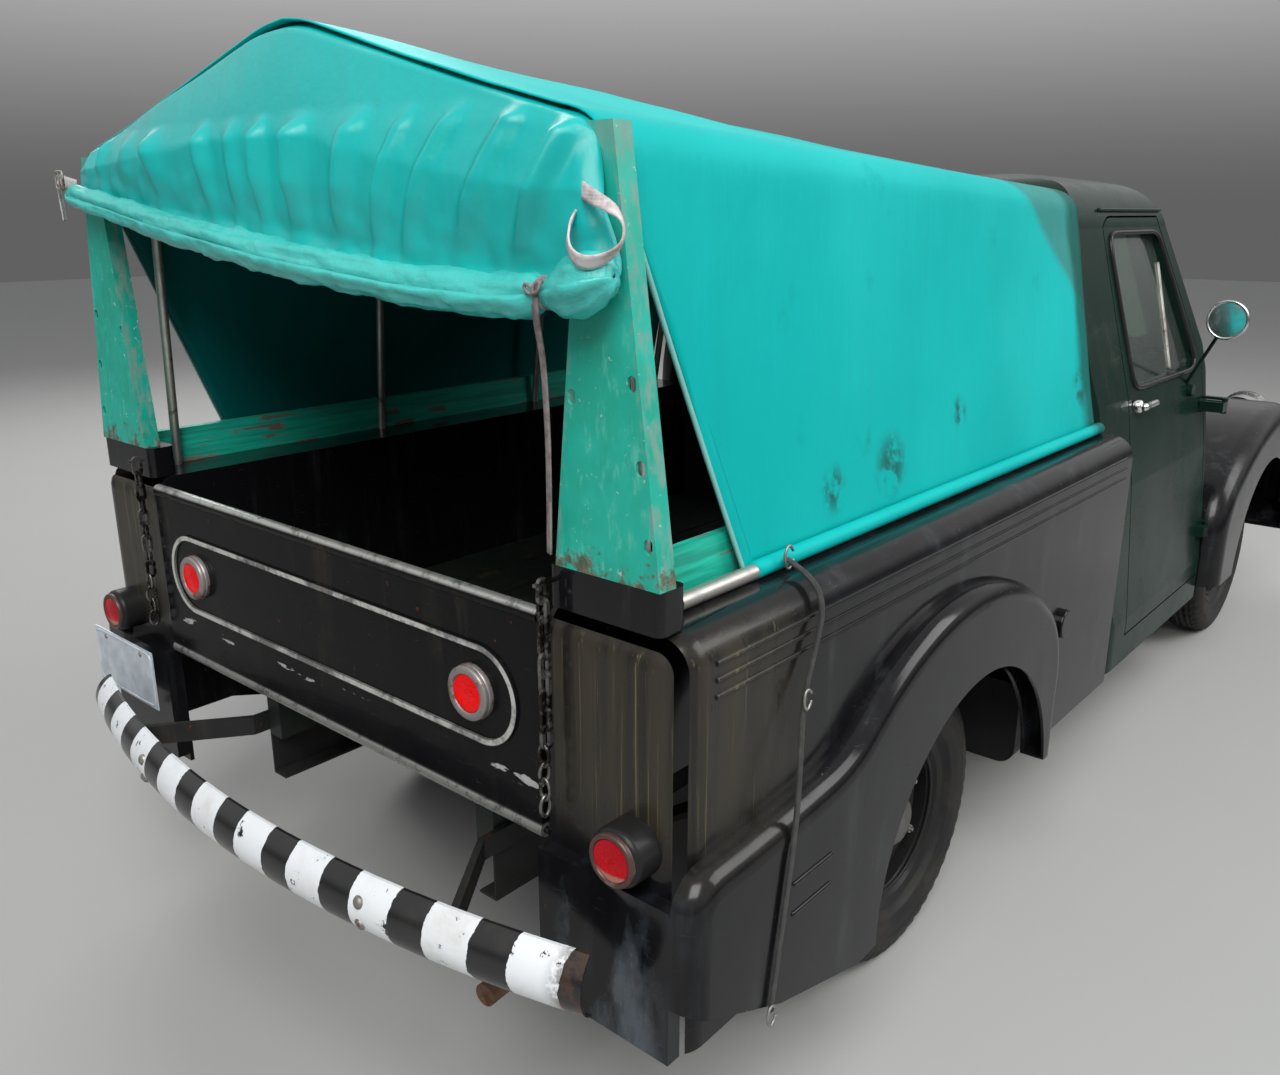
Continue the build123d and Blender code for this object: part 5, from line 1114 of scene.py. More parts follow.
class PICKUP_OT_webbing(Operator):
    """Hang the webbing, the curtain's tie and the strap that holds the canvas hem"""

    bl_idname = "pickup.webbing"
    bl_label = "Webbing and straps"

    def execute(self, context):
        face_x = CURTAIN_LOW.x
        loop_route = [
            (face_x + 0.052, -0.766, 1.779), (face_x + 0.034, -0.786, 1.773), (face_x + 0.020, -0.818, 1.764),
            (face_x + 0.018, -0.846, 1.754), (face_x + 0.024, -0.864, 1.742), (face_x + 0.028, -0.869, 1.722),
            (face_x + 0.024, -0.866, 1.701), (face_x + 0.010, -0.850, 1.684), (face_x - 0.006, -0.826, 1.678),
            (face_x - 0.008, -0.803, 1.690), (face_x + 0.002, -0.788, 1.712), (face_x + 0.022, -0.776, 1.732),
            (face_x + 0.042, -0.768, 1.742),
        ]
        left_route = [
            (face_x + 0.036, 0.776, 1.802), (face_x + 0.012, 0.792, 1.812), (face_x + 0.010, 0.820, 1.817),
            (face_x + 0.022, 0.840, 1.802), (face_x + 0.026, 0.845, 1.765), (face_x + 0.026, 0.842, 1.725),
        ]
        tie_route = [
            (face_x + 0.006, KNOT_Y + 0.004, 1.632), (face_x + 0.012, -0.712, 1.600), (face_x + 0.036, -0.700, 1.545),
            (face_x + 0.050, -0.691, 1.474), (face_x + 0.052, -0.692, 1.367), (face_x + 0.048, -0.692, 1.235),
        ]
        routes = (
            # name, route, way of the width at places along it, width, thickness, finish, far end
            ("webbing_loop", loop_route, LOOP_FACING, 0.022, 0.003, "pale_webbing", "object"),
            ("webbing_end", left_route, ((0.1, 0.0, 1.0), (0.6, 0.8, 0.0)), 0.024, 0.0025, "pale_webbing", "bare"),
            ("curtain_tie", tie_route, ((0.2, 1.0, 0.0), (0.4, 1.0, 0.0)), 0.015, 0.003, "mauve_webbing", "object"),
        )
        for name, route, facing, width, thickness, finish, far_end in routes:
            piece, line = strap(name, route, facing, width, thickness, None, finish)
            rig.slot(piece, "strap_webbing")
            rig.cord(
                piece, exit=route[0], length=route_length(line), diameter=width, far_end=far_end,
                stiffness="limp", lay="hanging", path=line,
            )
        self.buckle(Vector(left_route[1]))
        self.knot(Vector(tie_route[0]))
        self.hem_strap()
        return {"FINISHED"}

    def buckle(self, middle):
        """A dark slide buckle where the left webbing leaves the curtain."""
        size = 0.019
        corners = [middle + Vector((-0.006, side, rise)) for side, rise in (
            (-size, -size), (size, -size), (size, size), (-size, size),
        )]
        bead("buckle_frame", rounded_outline(corners, 0.005), 0.0028, "pole_steel", closed=True, finish="dull_steel")
        bar = [middle + Vector((-0.007, 0.0, rise)) for rise in (-size, 0.0, size)]
        bead("buckle_bar", bar, 0.0022, "pole_steel", finish="dull_steel")

    def knot(self, middle):
        """Two turns of thin line round the curtain's roll, with a small bow in front."""
        roll_x = CURTAIN_LOW.x + 0.028
        for turn, slant in enumerate((-0.10, 0.16)):
            ring = []
            for angle in turn_angles(10):
                rise = KNOT_RADIUS * math.sin(angle)
                y = KNOT_Y + 0.004 * turn + slant * rise
                ring.append((roll_x - KNOT_RADIUS * math.cos(angle), y, middle.z + 0.002 + rise))
            bead(f"knot_turn_{turn + 1}", ring, 0.0032, "strap_webbing", closed=True, finish="mauve_webbing", sides=6)
        front = Vector((roll_x - 0.027, KNOT_Y, middle.z + 0.004))
        for loop, way in enumerate((0.5, 2.3)):
            bow = []
            for angle in turn_angles(8):
                out = 0.010 + 0.010 * math.cos(angle)
                side = 0.0055 * math.sin(angle)
                bow.append(front + Vector((
                    -0.002, out * math.cos(way) - side * math.sin(way), out * math.sin(way) + side * math.cos(way),
                )))
            bead(f"knot_bow_{loop + 1}", bow, 0.0028, "strap_webbing", closed=True, finish="mauve_webbing", sides=6)

    def hem_strap(self):
        """The strap from the canvas hem down to the fender's foot, with its hooks."""
        side_y = -1.0033
        route = [
            (TAIL_X + 0.395, -0.8663, 1.166), (TAIL_X + 0.384, -0.928, 1.150), (TAIL_X + 0.374, -0.9600, 1.105),
            (TAIL_X + 0.352, -0.9605, 1.040), (TAIL_X + 0.312, -0.9655, 0.960), (TAIL_X + 0.274, -0.988, 0.860),
            (TAIL_X + 0.246, side_y, 0.760), (TAIL_X + 0.218, side_y, 0.600), (TAIL_X + 0.190, side_y, 0.425),
        ]
        piece, line = strap("hem_strap_web", route, ((1.0, 0.0, 0.0), (1.0, 0.0, -0.2)), 0.014, 0.0035, "strap_webbing")
        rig.replaces(piece, "hem_strap")
        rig.cord(
            piece, exit=route[0], length=route_length(line), diameter=0.014, far_end="object",
            stiffness="medium", lay="taut", path=line,
        )
        for name, middle, size in (
            ("hem_hook", Vector(route[0]) + Vector((0.0, -0.004, 0.004)), 0.014),
            ("strap_link", Vector(route[4]) + Vector((0.0, -0.006, 0.0)), 0.012),
            ("foot_hook", Vector(route[-1]) + Vector((0.0, 0.0, -0.006)), 0.013),
        ):
            hook = [middle + Vector((size * math.cos(angle), -0.002, 1.7 * size * math.sin(angle)))
                    for angle in (0.4, 1.4, 2.4, 3.4, 4.4, 5.4, 6.0)]
            bead(name, hook, 0.0028, "pole_steel", finish="dull_steel", sides=6)


class PICKUP_OT_lamps(Operator):
    """Fit bezels and lenses to the tail lamps, reflectors and headlamps"""

    bl_idname = "pickup.lamps"
    bl_label = "Lamps and reflectors"

    def execute(self, context):
        tail_low, tail_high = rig.box("tail_lamps")
        dot_low, dot_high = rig.box("reflectors")
        head_low, head_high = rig.box("headlamps")
        faces = (
            # name, face x, middle y, middle z, lens radius, bezel radius, body
            ("tail_lamp", tail_low.x, tail_high.y - 0.052, (tail_low.z + tail_high.z) / 2, 0.037, 0.046, "root"),
            ("reflector", dot_low.x, dot_high.y - 0.052, (dot_low.z + dot_high.z) / 2, 0.036, 0.051, "tailgate"),
        )
        for name, face_x, y, z, lens_radius, bezel_radius, body in faces:
            for hand, side in HANDS:
                self.rear_lens(f"{name}_{hand}", (face_x, side * y, z), lens_radius, bezel_radius, body)
        lamp_z = (head_low.z + head_high.z) / 2
        for hand, side in HANDS:
            middle = (head_high.x - 0.012, side * (head_high.y - 0.104), lamp_z)
            turned_piece(
                f"headlamp_glass_{hand}",
                [(-0.004, 0.092), (0.006, 0.088), (0.016, 0.070), (0.022, 0.045), (0.025, 0.020), (0.0255, 0.0)],
                middle, (1, 0, 0), "lamp_chrome", "root", finish="ribbed_glass", steps=64,
            )
            turned_piece(
                f"headlamp_rim_{hand}",
                [(-0.010, 0.090), (0.004, 0.089), (0.010, 0.094), (0.008, 0.102), (-0.004, 0.1065), (-0.012, 0.106)],
                middle, (1, 0, 0), "lamp_chrome", "root", steps=64,
            )
        return {"FINISHED"}

    def rear_lens(self, name, middle, lens_radius, bezel_radius, body):
        """A bezel and a lens pressed in rings."""
        bezel = [
            (-0.002, bezel_radius), (0.004, bezel_radius), (0.0065, bezel_radius - 0.002),
            (0.0075, lens_radius + 0.003), (0.006, lens_radius), (-0.002, lens_radius - 0.001),
        ]
        tail_lamp = name.startswith("tail_lamp")
        bezel_finish, lens_finish = ("lamp_bezel", "lamp_lens") if tail_lamp else ("pale_bezel", None)
        turned_piece(f"{name}_bezel", bezel, middle, (-1, 0, 0), "red_lens", body, finish=bezel_finish)
        rings = 5
        lens = [(0.0, lens_radius)]
        for ring in range(rings):
            radius = lens_radius * (1.0 - (ring + 0.45) / rings)
            crown = 0.0085 * (1.0 - (radius / lens_radius) ** 2) + 0.003
            lens.append((crown + 0.0012, radius + 0.0016))
            lens.append((crown, radius))
        lens.append((0.0125, 0.0))
        turned_piece(f"{name}_lens", lens, middle, (-1, 0, 0), "red_lens", body, finish=lens_finish)


# The tyre profile's own height over the rim and half-width
TYRE_HEIGHT, TYRE_HALF_WIDTH = 0.141, 0.0825
BOLT_CIRCLE = 0.112


class PICKUP_OT_wheels(Operator):
    """Mould the tyres' treads and sidewalls and fit hub caps and wheel nuts"""

    bl_idname = "pickup.wheels"
    bl_label = "Tyres and wheels"

    def execute(self, context):
        settings = context.scene.pickup_wheels
        for end in ("front", "rear"):
            for hand, side in HANDS:
                low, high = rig.box(f"tyre_{end}_{hand}")
                middle = (low + high) / 2
                self.mould_tyre(f"{end}_{hand}", middle, (high.z - low.z) / 2, (high.y - low.y) / 2, settings)
                self.dress_wheel(f"{end}_{hand}", middle, side, settings)
        return {"FINISHED"}

    def mould_tyre(self, where, middle, radius, half, settings):
        """A tyre turned from its profile, with slots in the shoulders and zigzag grooves."""
        rim = radius - TYRE_HEIGHT
        shoulder = [
            # distance out from the middle, radius
            (0.052, rim + 0.0005), (0.0515, rim + 0.010), (0.058, rim + 0.022), (0.068, rim + 0.030),
            (0.0725, rim + 0.034), (0.0715, rim + 0.038), (0.0775, rim + 0.050), (0.0815, rim + 0.066),
            (0.0800, rim + 0.070), (0.0822, rim + 0.074), (0.0800, rim + 0.092), (0.0790, rim + 0.096),
            (0.0780, rim + 0.099), (0.0745, rim + 0.113), (0.0700, rim + 0.121), (0.0660, rim + 0.127),
            (0.0600, rim + 0.134), (0.0530, rim + 0.1365), (0.0460, rim + 0.138), (0.0420, rim + 0.1385),
        ]
        tread = []
        for groove_y in (0.036, 0.012):
            tread += [
                (groove_y + 0.0042, rim + 0.1392), (groove_y + 0.0028, rim + 0.1312),
                (groove_y - 0.0028, rim + 0.1312), (groove_y - 0.0042, rim + 0.1397),
            ]
        half_profile = shoulder + tread
        profile = half_profile + [(-y, reach) for y, reach in reversed(half_profile)]
        scale = half / TYRE_HALF_WIDTH
        steps = settings.tread_blocks * 5
        tyre = lathe([(y * scale, reach) for y, reach in profile], middle, (0, 1, 0), steps)
        for vert in tyre.verts:
            out = abs(vert.co.y - middle.y)
            reach = math.hypot(vert.co.x - middle.x, vert.co.z - middle.z)
            angle = math.atan2(vert.co.z - middle.z, vert.co.x - middle.x)
            zigzag = 0.25 if vert.co.y > middle.y else 0.75
            phase = (angle / math.tau * settings.tread_blocks + zigzag + 10.0) % 1.0
            if out > 0.043 and reach > rim + 0.112 and phase < 0.3:
                shrink = (reach - settings.tread_depth) / reach
                vert.co.x = middle.x + (vert.co.x - middle.x) * shrink
                vert.co.z = middle.z + (vert.co.z - middle.z) * shrink
            if out < 0.042 and reach > rim + 0.13:
                vert.co.y += 0.0035 * math.sin(angle * settings.tread_blocks)
        piece = new_piece(f"tyre_{where}_tread", tyre, "tyre_rubber", f"wheel_{where}")
        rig.replaces(piece, f"tyre_{where}")

    def dress_wheel(self, where, middle, side, settings):
        """The hub cap, the wheel nuts and the bead round the rim."""
        face = middle + Vector((0.0, side * 0.022, 0.0))
        cap = [
            (0.000, 0.079), (0.006, 0.080), (0.012, 0.076), (0.016, 0.066), (0.028, 0.062), (0.038, 0.052),
            (0.0405, 0.042), (0.0415, 0.020), (0.042, 0.0),
        ]
        turned_piece(f"hub_cap_{where}", cap, face, (0, side, 0), "wheel_paint", f"wheel_{where}", finish="hub_steel")
        nuts = bmesh.new()
        for nut in range(settings.wheel_nuts):
            angle = math.tau * (nut + 0.5) / settings.wheel_nuts
            # The nut, then its stud: distance out, sides, foot radius, head radius, length
            for out, sides, foot, head, length in ((0.012, 6, 0.0125, 0.0115, 0.016), (0.021, 10, 0.006, 0.005, 0.010)):
                place = face + Vector((BOLT_CIRCLE * math.cos(angle), side * out, BOLT_CIRCLE * math.sin(angle)))
                turn = Matrix.Translation(place) @ Matrix.Rotation(-side * math.pi / 2, 4, "X")
                bmesh.ops.create_cone(
                    nuts, cap_ends=True, segments=sides, radius1=foot, radius2=head, depth=length, matrix=turn
                )
        new_piece(f"wheel_nuts_{where}", nuts, "wheel_paint", f"wheel_{where}", smooth=False, finish="dull_steel")
        ring = [
            (0.0, 0.1765), (0.003, 0.1790), (0.004, 0.1830), (0.002, 0.1865), (-0.002, 0.1870), (-0.003, 0.1800),
        ]
        edge = middle + Vector((0.0, side * 0.045, 0.0))
        turned_piece(f"rim_bead_{where}", ring, edge, (0, side, 0), "wheel_paint", f"wheel_{where}", steps=72)


class PICKUP_OT_windows(Operator):
    """Set window rubbers, wipers, drip rails and the cab's bright trim"""

    bl_idname = "pickup.windows"
    bl_label = "Window rubbers and trim"

    def execute(self, context):
        rubber = context.scene.pickup_wheels.rubber_radius
        cab_skin = skin_of("cab")
        glass_low, glass_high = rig.box("door_glass_left")
        low_x, high_x, low_z, high_z = glass_low.x, glass_high.x, glass_low.z, glass_high.z
        for hand, side in HANDS:
            door_skin = skin_of(f"door_{hand}")
            margin = 0.009
            corners = [
                (low_x - margin, side, low_z - margin), (low_x + 0.006 - margin, side, high_z + margin),
                (high_x - 0.172 + margin, side, high_z + margin), (high_x + margin, side, low_z + 0.045 + margin),
                (high_x + margin, side, low_z - margin),
            ]
            ring = laid_on(door_skin, rounded_outline(corners, 0.03, 5), (0, -side, 0), 0.002)
            bead(f"door_rubber_{hand}", ring, rubber, "wheel_rim_plastic", f"door_{hand}", closed=True)
            gutter = [(low_x - 0.05 + 0.69 * step / 8, side, high_z + 0.078) for step in range(9)]
            rail = laid_on(cab_skin, gutter, (0, -side, 0), 0.004)
            bead(f"drip_rail_{hand}", rail, 0.006, "cab_paint", sides=6)
            self.door_handle(hand, side)
            self.window_channel(hand, side, low_x, low_z, high_z)
        back_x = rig.box("cab")[0].x
        rear = [(back_x, y, z) for y, z in ((-0.39, 1.335), (0.39, 1.335), (0.39, 1.625), (-0.39, 1.625))]
        ring = laid_on(cab_skin, rounded_outline(rear, 0.055, 5), (1, 0, 0), 0.002)
        bead("rear_window_rubber", ring, rubber, "wheel_rim_plastic", closed=True)
        for hand, side in HANDS:
            pane = [(1.3, side * y, z) for y, z in ((0.014, 1.290), (0.014, 1.710), (0.548, 1.694), (0.622, 1.290))]
            ring = laid_on(cab_skin, rounded_outline(pane, 0.026, 5), (-1, 0, 0), 0.002)
            bead(f"windscreen_rubber_{hand}", ring, rubber, "wheel_rim_plastic", closed=True)
            self.wiper(hand, side)
        return {"FINISHED"}

    def door_handle(self, hand, side):
        """The bright grip and the rose that it turns in."""
        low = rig.box(f"door_{hand}")[0]
        start = (low.x + 0.054, side * 0.854, 1.168)
        grip = [
            (-0.012, 0.0), (-0.011, 0.008), (-0.004, 0.0125), (0.010, 0.0125), (0.020, 0.0100), (0.060, 0.0105),
            (0.105, 0.0115), (0.122, 0.0105), (0.129, 0.006), (0.130, 0.0),
        ]
        rose = [(-0.030, 0.020), (-0.012, 0.021), (-0.007, 0.017), (-0.004, 0.010), (-0.003, 0.0)]
        pieces = (("door_handle", grip, (1, 0, 0), 24), ("handle_rose", rose, (0, side, 0), 32))
        for name, profile, axis, steps in pieces:
            turned_piece(
                f"{name}_{hand}", profile, start, axis, "cab_paint", f"door_{hand}", finish="lamp_chrome", steps=steps
            )

    def window_channel(self, hand, side, low_x, low_z, high_z):
        """The upright of the small fixed pane at the door's front edge."""
        skin = skin_of(f"door_glass_{hand}")
        rise = (high_z - low_z - 0.012) / 5
        upright = [(low_x + 0.435 + 0.016 * step, side, low_z + 0.006 + rise * step) for step in range(6)]
        bead(f"window_channel_{hand}", laid_on(skin, upright, (0, -side, 0), 0.001), 0.0065, "wheel_rim_plastic",
             f"door_{hand}", finish="dull_steel")

    def wiper(self, hand, side):
        """A wiper arm and its blade, lifted off the windscreen."""
        skin = skin_of("cab_glass")
        route = [(1.3, side * y, z) for y, z in ((0.30, 1.318), (0.27, 1.390), (0.235, 1.470))]
        arm = laid_on(skin, route, (-1, 0, 0), 0.022)
        route = [(1.3, side * (0.10 + 0.055 * step), 1.440 + 0.012 * step) for step in range(6)]
        blade = laid_on(skin, route, (-1, 0, 0), 0.012)
        bead(f"wiper_arm_{hand}", arm, 0.0035, "lamp_chrome", sides=6)
        bead(f"wiper_blade_{hand}", blade, 0.005, "wheel_rim_plastic", sides=6)


class PICKUP_OT_cabin(Operator):
    """Upholster the bench seat and dress the dashboard"""

    bl_idname = "pickup.cabin"
    bl_label = "Seat and dashboard"

    def execute(self, context):
        low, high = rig.box("seat")
        channels = context.scene.pickup_tilt.seat_channels
        base = bmesh.new()
        bmesh.ops.create_cube(base, size=1.0)
        base_low = Vector((low.x + 0.205, low.y + 0.03, low.z))
        base_high = Vector((high.x - 0.075, high.y - 0.03, low.z + 0.205))
        middle, size = (base_low + base_high) / 2, base_high - base_low
        for vert in base.verts:
            vert.co = middle + vert.co * size
        bmesh.ops.bevel(
            base, geom=base.edges[:], offset=0.012, segments=2, profile=0.5, affect="EDGES", material=-1
        )
        stand = new_piece("seat_base", base, "seat_leather", smooth=False, finish="frame_paint")
        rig.replaces(stand, "seat")

        def cushion(across, along, out):
            x = low.x + 0.125 + along * (high.x - low.x - 0.130)
            z = low.z + 0.205 + 0.005 * along + out * (0.118 + 0.018 * along)
            return Vector((x, low.y + across * (high.y - low.y), z))

        def back(across, along, out):
            foot = Vector((low.x + 0.115, 0.0, low.z + 0.275))
            head = Vector((low.x + 0.018, 0.0, high.z - 0.004))
            spot = foot.lerp(head, along) + Vector((0.095 * out * (1.0 - 0.25 * along), 0.0, 0.018 * out))
            return Vector((spot.x, low.y + across * (high.y - low.y), spot.z))

        for name, place in (("seat_cushion", cushion), ("seat_back", back)):
            pad = self.pad(name, place, channels)
            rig.padded(pad, 0.6)
        self.dials()
        return {"FINISHED"}

    def pad(self, name, place, channels):
        """A stuffed pad with rounded edges and sewn channels."""
        bm = bmesh.new()
        bmesh.ops.create_cube(bm, size=2.0)
        bmesh.ops.subdivide_edges(bm, edges=bm.edges[:], cuts=7, use_grid_fill=True)
        across_edges = [edge for edge in bm.edges if abs(edge.verts[0].co.x - edge.verts[1].co.x) > 0.1]
        bmesh.ops.subdivide_edges(bm, edges=across_edges, cuts=11)
        for vert in bm.verts:
            x, y, z = vert.co
            edge = (1.0 - abs(x) ** 8) ** 0.125 * (1.0 - abs(y) ** 5) ** 0.2
            face = 0.5 + 0.5 * z * (0.62 + 0.38 * edge)
            across = 0.5 + 0.5 * x * (1.0 - 0.012 * z * z)
            along = 0.5 + 0.5 * y * (1.0 - 0.04 * abs(z) ** 3)
            if z > 0.9:
                groove = abs(math.cos(math.pi * across * channels))
                face -= 0.055 * (1.0 - groove) ** 2 * min(1.0, 4.0 * (1.0 - abs(y)))
            vert.co = place(across, along, face)
        piece = new_piece(name, bm, "seat_leather")
        soften(piece)
        return piece

    def dials(self):
        """The dashboard's dials, lock and knobs."""
        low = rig.box("dashboard")[0]
        lean = Vector((-0.983, 0.0, -0.182)).normalized()
        table = (
            # name, distance across, height, radius
            ("speed_dial", 0.36, 1.135, 0.058), ("fuel_dial", 0.235, 1.135, 0.030), ("oil_dial", 0.485, 1.135, 0.030),
            ("glove_lock", -0.40, 1.150, 0.012), ("choke_knob", 0.12, 1.110, 0.011), ("lamp_knob", 0.06, 1.110, 0.011),
        )
        skin = skin_of("dashboard")
        for name, y, z, radius in table:
            spot = laid_on(skin, [(low.x, y, z)], (1, 0, 0), 0.0)[0]
            rim = [
                (-0.004, radius), (0.004, radius), (0.008, 0.95 * radius), (0.007, 0.88 * radius),
                (0.002, 0.86 * radius),
            ]
            turned_piece(f"{name}_rim", rim, spot, lean, "cab_paint", "root", finish="lamp_chrome", steps=36)
            face = [(0.0025, 0.87 * radius), (0.0028, 0.4 * radius), (0.003, 0.0)]
            turned_piece(f"{name}_face", face, spot, lean, "cab_paint", "root", finish="dial_face", steps=36)


BUMPER_BOW = 0.125
PLATE_HEIGHT = 0.152


class PICKUP_OT_trim(Operator):
    """Add bumper bolts, the blank plate's rim, mirror glasses and bonnet trim"""

    bl_idname = "pickup.trim"
    bl_label = "Bolts, plate and bright trim"

    def execute(self, context):
        self.bumper_bolts()
        self.plate_rim()
        self.chain_ends()
        for hand, side in HANDS:
            low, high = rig.box(f"mirror_{hand}")
            middle = Vector((low.x, (high.y if side > 0 else low.y) - side * 0.062, high.z - 0.062))
            glass = [(0.0005, 0.056), (0.0015, 0.040), (0.002, 0.0)]
            turned_piece(f"mirror_glass_{hand}", glass, middle, (-1, 0, 0), "mirror_glass", f"door_{hand}")
            rim = [(-0.016, 0.0625), (0.001, 0.064), (0.004, 0.061), (0.003, 0.057), (0.0, 0.055)]
            turned_piece(
                f"mirror_rim_{hand}", rim, middle, (-1, 0, 0), "mirror_glass", f"door_{hand}", finish="lamp_chrome"
            )
        bonnet_low, bonnet_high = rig.box("bonnet")
        pace = (bonnet_high.x - bonnet_low.x - 0.12) / 12
        line = [(bonnet_low.x + 0.08 + pace * step, 0.0, 2.0) for step in range(13)]
        bead(
            "bonnet_strip", laid_on(skin_of("bonnet"), line, (0, 0, -1), 0.002), 0.007, "cab_paint", "bonnet",
            finish="lamp_chrome",
        )
        return {"FINISHED"}

    def bumper_bolts(self):
        """Bolt heads where the arms hold the bowed bumpers."""
        for end, facing in (("rear", -1), ("front", 1)):
            low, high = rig.box(f"{end}_bumper")
            radius = (((high.y - low.y) / 2) ** 2 + BUMPER_BOW ** 2) / (2 * BUMPER_BOW)
            tip = low.x if facing < 0 else high.x
            middle_z = (low.z + high.z) / 2
            for index, (y, rise) in enumerate((y, rise) for y in (-0.40, 0.40) for rise in (-0.022, 0.022)):
                x = tip - facing * (radius - math.sqrt(radius ** 2 - y ** 2) + 0.0045)
                head = [(-0.004, 0.0125), (0.001, 0.0125), (0.005, 0.009), (0.0065, 0.0)]
                axis = (facing, -y / radius, 0.25 * rise / 0.022)
                turned_piece(
                    f"{end}_bumper_bolt_{index + 1}", head, (x, y, middle_z + rise), axis, "bumper_paint", "root",
                    finish="dull_steel", steps=16,
                )

    def chain_ends(self):
        """The last links of the chains, down to the foot of the tailgate."""
        low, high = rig.box("chains")
        for hand, side in HANDS:
            for link in range(CHAIN_END_LINKS):
                middle = Vector((low.x + 0.012, side * (high.y - 0.012), low.z - 0.0085 - CHAIN_PITCH * link))
                ring = []
                for angle in turn_angles(12):
                    wide, tall = LINK_HALF_WIDTH * math.sin(angle), LINK_HALF_LENGTH * math.cos(angle)
                    wide *= 1.0 + 0.35 * abs(math.sin(angle))
                    ring.append(middle + (Vector((0.0, wide, tall)) if link % 2 == 0 else Vector((wide, 0.0, tall))))
                bead(f"chain_end_{hand}_{link + 1}", ring, LINK_WIRE, "chain_steel", closed=True, sides=6)

    def plate_rim(self):
        """A raised rim round the blank plate, and its two screws."""
        low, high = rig.box("licence_plate")
        corners = [
            (low.x - 0.0005, y, z) for y, z in (
                (low.y + 0.006, low.z + 0.006), (high.y - 0.006, low.z + 0.006),
                (high.y - 0.006, low.z + PLATE_HEIGHT - 0.006), (low.y + 0.006, low.z + PLATE_HEIGHT - 0.006),
            )
        ]
        bead("plate_rim", rounded_outline(corners, 0.012), 0.0022, "plate_blank", closed=True, sides=6)
        screw_z = low.z + PLATE_HEIGHT - 0.018
        for index, (y, z) in enumerate(((low.y + 0.06, screw_z), (high.y - 0.06, screw_z))):
            turned_piece(
                f"plate_screw_{index + 1}", [(0.0, 0.007), (0.002, 0.006), (0.003, 0.0)], (low.x, y, z), (-1, 0, 0),
                "plate_blank", "root", finish="dull_steel", steps=12,
            )


class PICKUP_OT_finishes(Operator):
    """Give every construction piece its finish"""

    bl_idname = "pickup.finishes"
    bl_label = "Finishes"

    def execute(self, context):
        slots = {part["node"]: part["material_slot"] for part in frame["record"]["subparts"]}
        own_finish = {
            "tailgate": "tailgate_paint", "nose": "nose_paint", "tail_lamps": "wheel_paint",
            "reflectors": "pale_bezel", "mirror_left": "cab_paint", "mirror_right": "cab_paint",
        }
        for name, node in frame["nodes"].items():
            node.data.materials.clear()
            node.data.materials.append(FINISHES[own_finish.get(name, slots[name])])
        return {"FINISHED"}


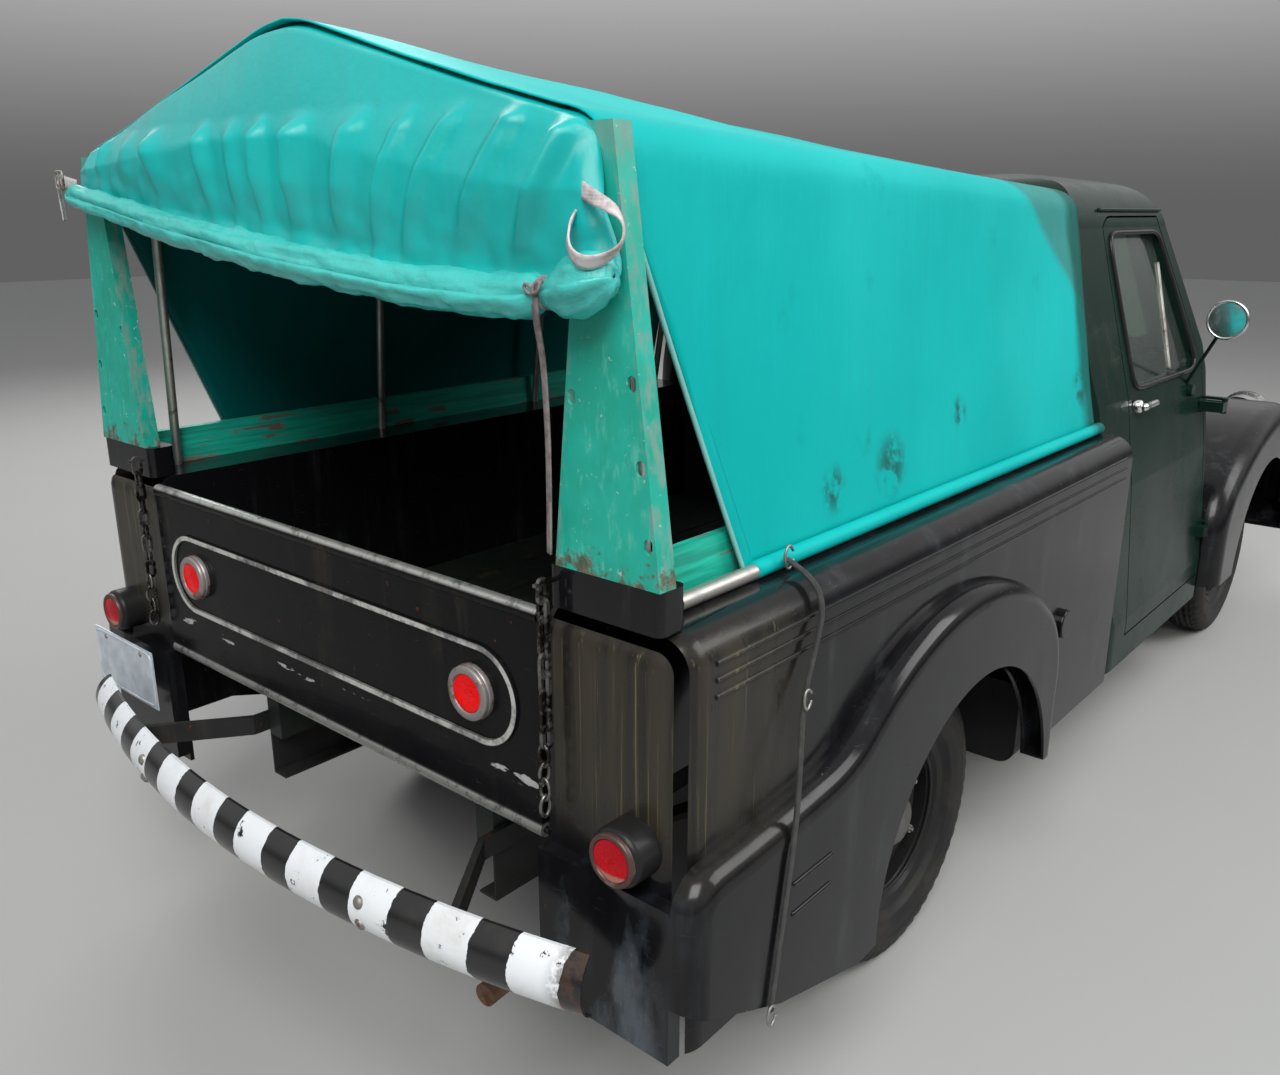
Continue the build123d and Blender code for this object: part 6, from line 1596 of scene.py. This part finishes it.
class PICKUP_OT_stage(Operator):
    """Set the pale floor, the soft light and the camera at the photograph's angle"""

    bl_idname = "pickup.stage"
    bl_label = "Stage"

    def execute(self, context):
        settings = context.scene.pickup_stage
        bm = bmesh.new()
        bmesh.ops.create_grid(bm, x_segments=1, y_segments=1, size=30.0)
        mesh = bpy.data.meshes.new("floor")
        bm.to_mesh(mesh)
        bm.free()
        floor = bpy.data.objects.new("floor", mesh)
        context.scene.collection.objects.link(floor)
        ground = NodeFinish("floor", roughness=0.9)
        mottled = ground.noise(ground.place(), 1.5, 5.0)
        pale = settings.floor_color[:]
        tone = ground.mix(mottled, pale, tuple(0.96 * part for part in pale))
        floor.data.materials.append(ground.finish(tone))
        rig.stage(floor)
        self.light_world(context.scene)
        self.add_lamp("key", (-6.0, -4.0, 7.5), 5.0, 800.0)
        self.add_lamp("fill", (3.5, -6.5, 6.5), 5.0, 420.0)
        self.add_lamp("back", (2.0, 7.0, 6.5), 5.0, 380.0)
        self.add_camera(context.scene, settings)
        context.scene.view_settings.view_transform = "Standard"
        return {"FINISHED"}

    def light_world(self, scene):
        """Even light all round, and for the camera, mirrors and glass a backdrop, darkest at the horizon."""
        world = bpy.data.worlds.new("studio")
        world.use_nodes = True
        nodes, links = world.node_tree.nodes, world.node_tree.links
        sky = nodes["Background"]
        sky.inputs["Color"].default_value = (0.86, 0.88, 0.9, 1.0)
        sky.inputs["Strength"].default_value = 0.3
        seen = nodes.new("ShaderNodeBackground")
        seen.inputs["Color"].default_value = (0.92, 0.92, 0.92, 1.0)
        direction = nodes.new("ShaderNodeTexCoord")
        parts = nodes.new("ShaderNodeSeparateXYZ")
        links.new(direction.outputs["Generated"], parts.inputs["Vector"])
        rising = nodes.new("ShaderNodeMapRange")
        rising.interpolation_type = "SMOOTHSTEP"
        for socket, value in (("From Min", 0.0), ("From Max", 0.35), ("To Min", 0.13), ("To Max", 0.8)):
            rising.inputs[socket].default_value = value
        links.new(parts.outputs["Z"], rising.inputs["Value"])
        links.new(rising.outputs["Result"], seen.inputs["Strength"])
        rays = nodes.new("ShaderNodeLightPath")
        shows = rays.outputs["Is Camera Ray"]
        for kind in ("Is Glossy Ray", "Is Transmission Ray"):
            either = nodes.new("ShaderNodeMath")
            either.operation = "MAXIMUM"
            links.new(shows, either.inputs[0])
            links.new(rays.outputs[kind], either.inputs[1])
            shows = either.outputs["Value"]
        blend = nodes.new("ShaderNodeMixShader")
        links.new(shows, blend.inputs["Fac"])
        links.new(sky.outputs["Background"], blend.inputs[1])
        links.new(seen.outputs["Background"], blend.inputs[2])
        links.new(blend.outputs["Shader"], nodes["World Output"].inputs["Surface"])
        scene.world = world

    def add_lamp(self, name, place, size, power):
        """A square soft lamp that points at the middle of the truck."""
        lamp = bpy.data.lights.new(name, "AREA")
        lamp.size = size
        lamp.energy = power
        holder = bpy.data.objects.new(name, lamp)
        holder.location = place
        holder.rotation_mode = "QUATERNION"
        holder.rotation_quaternion = (Vector((0.0, 0.0, 0.9)) - Vector(place)).to_track_quat("-Z", "Y")
        bpy.context.scene.collection.objects.link(holder)

    def add_camera(self, scene, settings):
        """The camera at the photograph's place and angle."""
        data = bpy.data.cameras.new("camera")
        data.sensor_fit = "HORIZONTAL"
        data.sensor_width = 36.0
        data.lens = settings.focal_pixels / PHOTO_WIDTH * data.sensor_width
        camera = bpy.data.objects.new("camera", data)
        camera.location = (settings.camera_x, settings.camera_y, settings.camera_z)
        ahead = Vector((
            math.cos(settings.camera_yaw) * math.cos(settings.camera_pitch),
            math.sin(settings.camera_yaw) * math.cos(settings.camera_pitch),
            -math.sin(settings.camera_pitch),
        ))
        camera.rotation_mode = "QUATERNION"
        camera.rotation_quaternion = ahead.to_track_quat("-Z", "Y")
        scene.collection.objects.link(camera)
        scene.camera = camera


class PICKUP_PT_panel(Panel):
    """Shows the truck's settings and the buttons that build its pieces"""

    bl_idname = "PICKUP_PT_panel"
    bl_label = "Pickup truck"
    bl_space_type = "VIEW_3D"
    bl_region_type = "UI"
    bl_category = "Pickup"

    def draw(self, context):
        for settings in GROUPS:
            group = getattr(context.scene, settings)
            for name in group.__annotations__:
                self.layout.prop(group, name)
        for operator in OPERATORS:
            self.layout.operator(operator.bl_idname)


GROUPS = {
    "pickup_tilt": PICKUP_PG_tilt, "pickup_wheels": PICKUP_PG_wheels,
    "pickup_paint": PICKUP_PG_paint, "pickup_stage": PICKUP_PG_stage,
}
OPERATORS = (
    PICKUP_OT_stage, PICKUP_OT_finishes, PICKUP_OT_webbing, PICKUP_OT_canvas, PICKUP_OT_curtain,
    PICKUP_OT_lamps, PICKUP_OT_wheels, PICKUP_OT_windows, PICKUP_OT_cabin, PICKUP_OT_trim,
)


def register():
    for group in (*GROUPS.values(), *OPERATORS, PICKUP_PT_panel):
        bpy.utils.register_class(group)
    for name, group in GROUPS.items():
        setattr(bpy.types.Scene, name, PointerProperty(type=group))


def unregister():
    for name in GROUPS:
        delattr(bpy.types.Scene, name)
    for group in reversed((*GROUPS.values(), *OPERATORS, PICKUP_PT_panel)):
        bpy.utils.unregister_class(group)


def main():
    register()
    make_finishes()
    for operator in OPERATORS:
        group, name = operator.bl_idname.split(".")
        getattr(getattr(bpy.ops, group), name)()
    low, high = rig.bounds()
    sizes = {"cad": [list(cad_low), list(cad_high)], "visual": [list(low), list(high)]}
    with open("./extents.json", "w") as out:
        json.dump(sizes, out)


if __name__ == "__main__":
    main()
